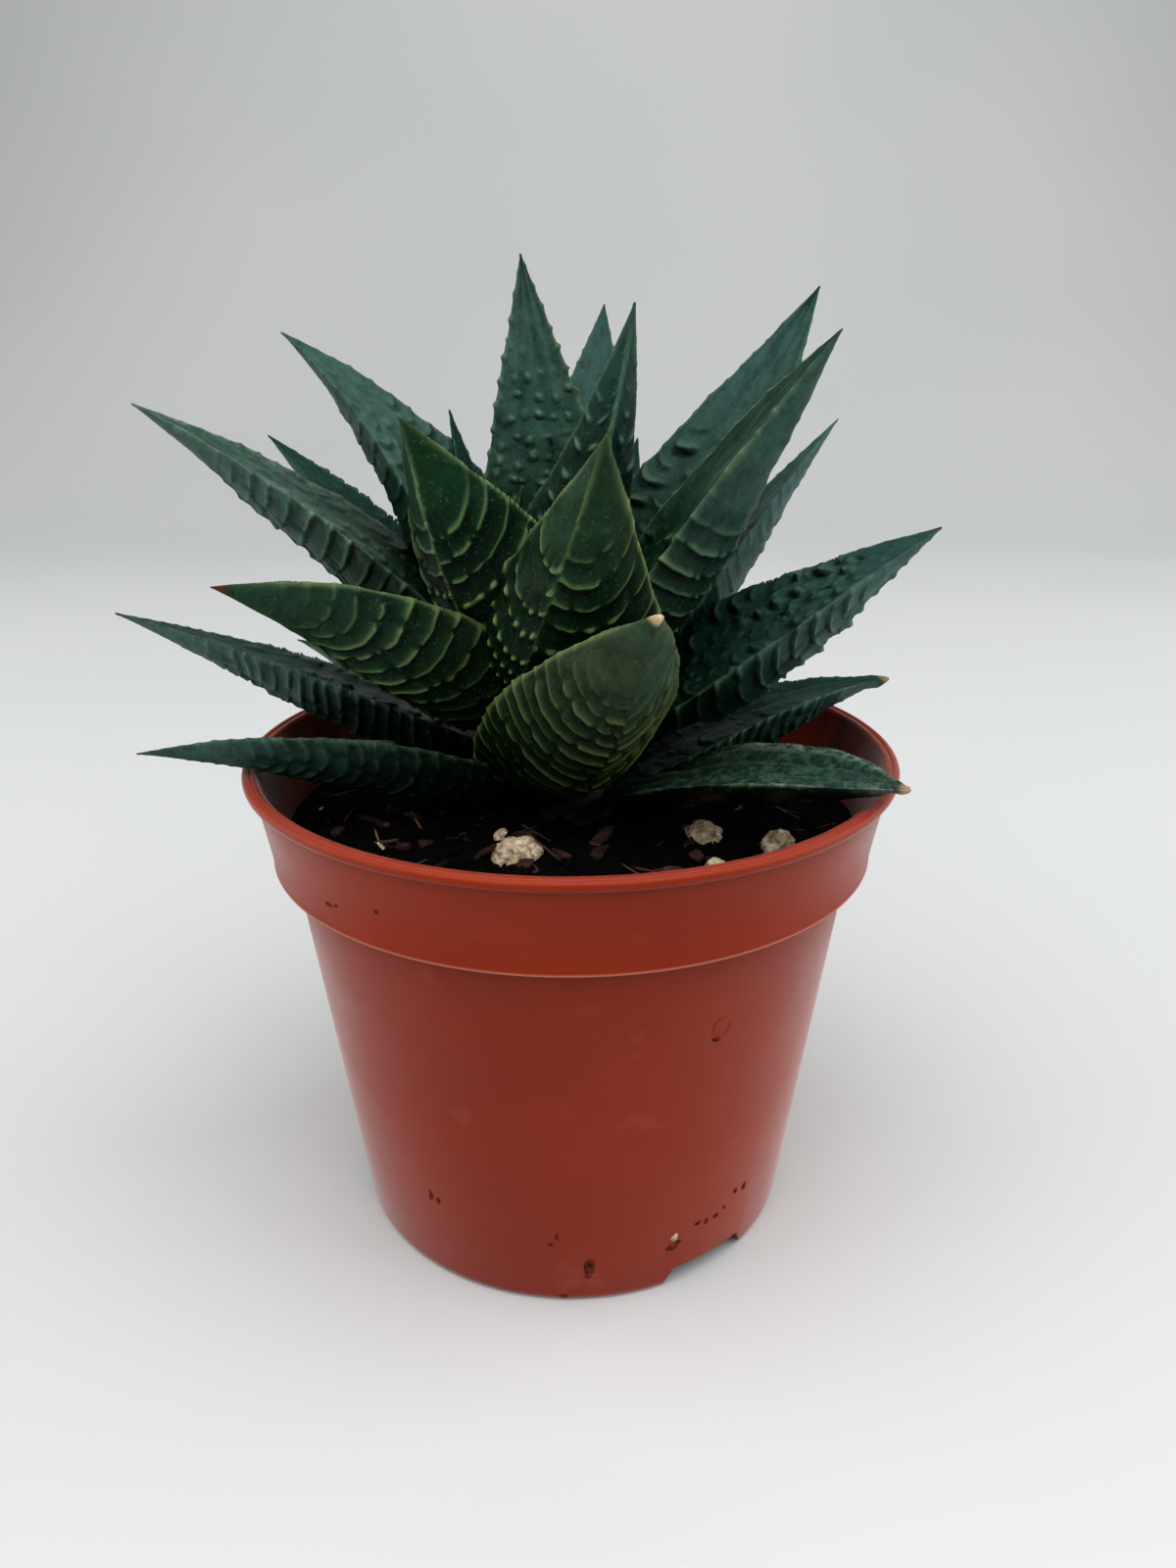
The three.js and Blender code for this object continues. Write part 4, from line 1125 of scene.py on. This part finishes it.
fresh, greyed, ashen, crest_hue = (
    add_node(leaf_skin, "ValToRGB", {"Fac": hue}, stops) for stops in (
        ((0.0, "#07261f"), (0.45, "#08280f"), (1.0, "#102d07")),
        ((0.0, "#193a34"), (0.45, "#1a3923"), (1.0, "#243b18")),
        ((0.0, "#466560"), (0.45, "#426055"), (1.0, "#47513a")),
        ((0.0, "#5d7c6c"), (0.35, "#718a62"), (0.8, "#8b9b63"))))
outward = add_node(leaf_skin, "MapRange", {"Value": share, LOW: 0.3, HIGH: 0.75, MOST: 0.9})
blotches = add_node(leaf_skin, "TexNoise",
                    {"Vector": spot, "Scale": marks_of(1.92), "Detail": 6.0, "Roughness": 0.7})
patchy = add_node(leaf_skin, "MapRange", {"Value": blotches, LOW: 0.45, HIGH: 0.65, MOST: 0.45})
# tone above 0 is pale crests, bumps and margins together with painted light; below 0 it is painted
# shade, mixed to near-black
crest = add_node(leaf_skin, "MapRange", {"Value": tone, MOST: 0.85})
painted_shade_amount = add_node(leaf_skin, "MapRange", {"Value": tone, HIGH: -0.8, MOST: 0.94})
flecks = add_node(leaf_skin, "TexNoise",
                  {"Vector": spot, "Scale": marks_of(0.385), "Roughness": 0.6})
fleck = add_node(leaf_skin, "MapRange", {"Value": flecks, LOW: 0.6, HIGH: 0.75, MOST: 0.3})
dust = add_node(leaf_skin, "TexNoise",
                {"Vector": spot, "Scale": marks_of(1.25), "Detail": 6.0, "Roughness": 0.75})
dusting = add_node(leaf_skin, "MapRange",
                   {"Value": dust, LOW: 0.45, HIGH: 0.68, LEAST: 0.04, MOST: 0.75})
scurfy = add_node(leaf_skin, "Math", {FIRST: dusting, SECOND: scurf}, operation="MULTIPLY")
dead = add_node(leaf_skin, "Mix",
                {SHARE: bleached, UNDER: "#5e3524", OVER: "#c4b08c"}, **COLOURS)

# Over the fresh green, the greyer green of the leaf's outer half, ashen bloom (partly painted
# sheen on the upper face), dark blotches, pale crests with painted light, painted shade, flecks,
# scurf and the dead tip
colour = fresh
for thickness, layer in ((outward, greyed), (grey, ashen), (patchy, "#0a1c14"),
                         (crest, crest_hue), (painted_shade_amount, "#03110b"), (fleck, "#67866a"),
                         (scurfy, "#8a9a8c"), (dry, dead)):
    colour = add_node(leaf_skin, "Mix", {SHARE: thickness, UNDER: colour, OVER: layer}, **COLOURS)
wax = add_node(leaf_skin, "MapRange",
               {"Value": blotches, LOW: 0.3, HIGH: 0.7, LEAST: 0.34, MOST: 0.48})
cells = add_node(leaf_skin, "TexNoise", {"Vector": spot, "Scale": marks_of(0.556)})
grainy = add_node(leaf_skin, "Bump",
                  {"Height": cells, "Strength": 0.25, "Distance": 0.2 * MM})
set_shader(leaf_skin, Base_Color=colour, Roughness=wax, Normal=grainy)

for number, (name, sizes, extras) in enumerate(LEAVES):
    leaf = {**PLAIN_LEAF, **dict(zip(LEAF_SIZES, sizes)), **extras}
    blade = grow_leaf("blade_" + name, leaf, np.random.default_rng(100 + number))
    dress(blade, leaf_skin, "leaf_skin", "leaf_" + name)
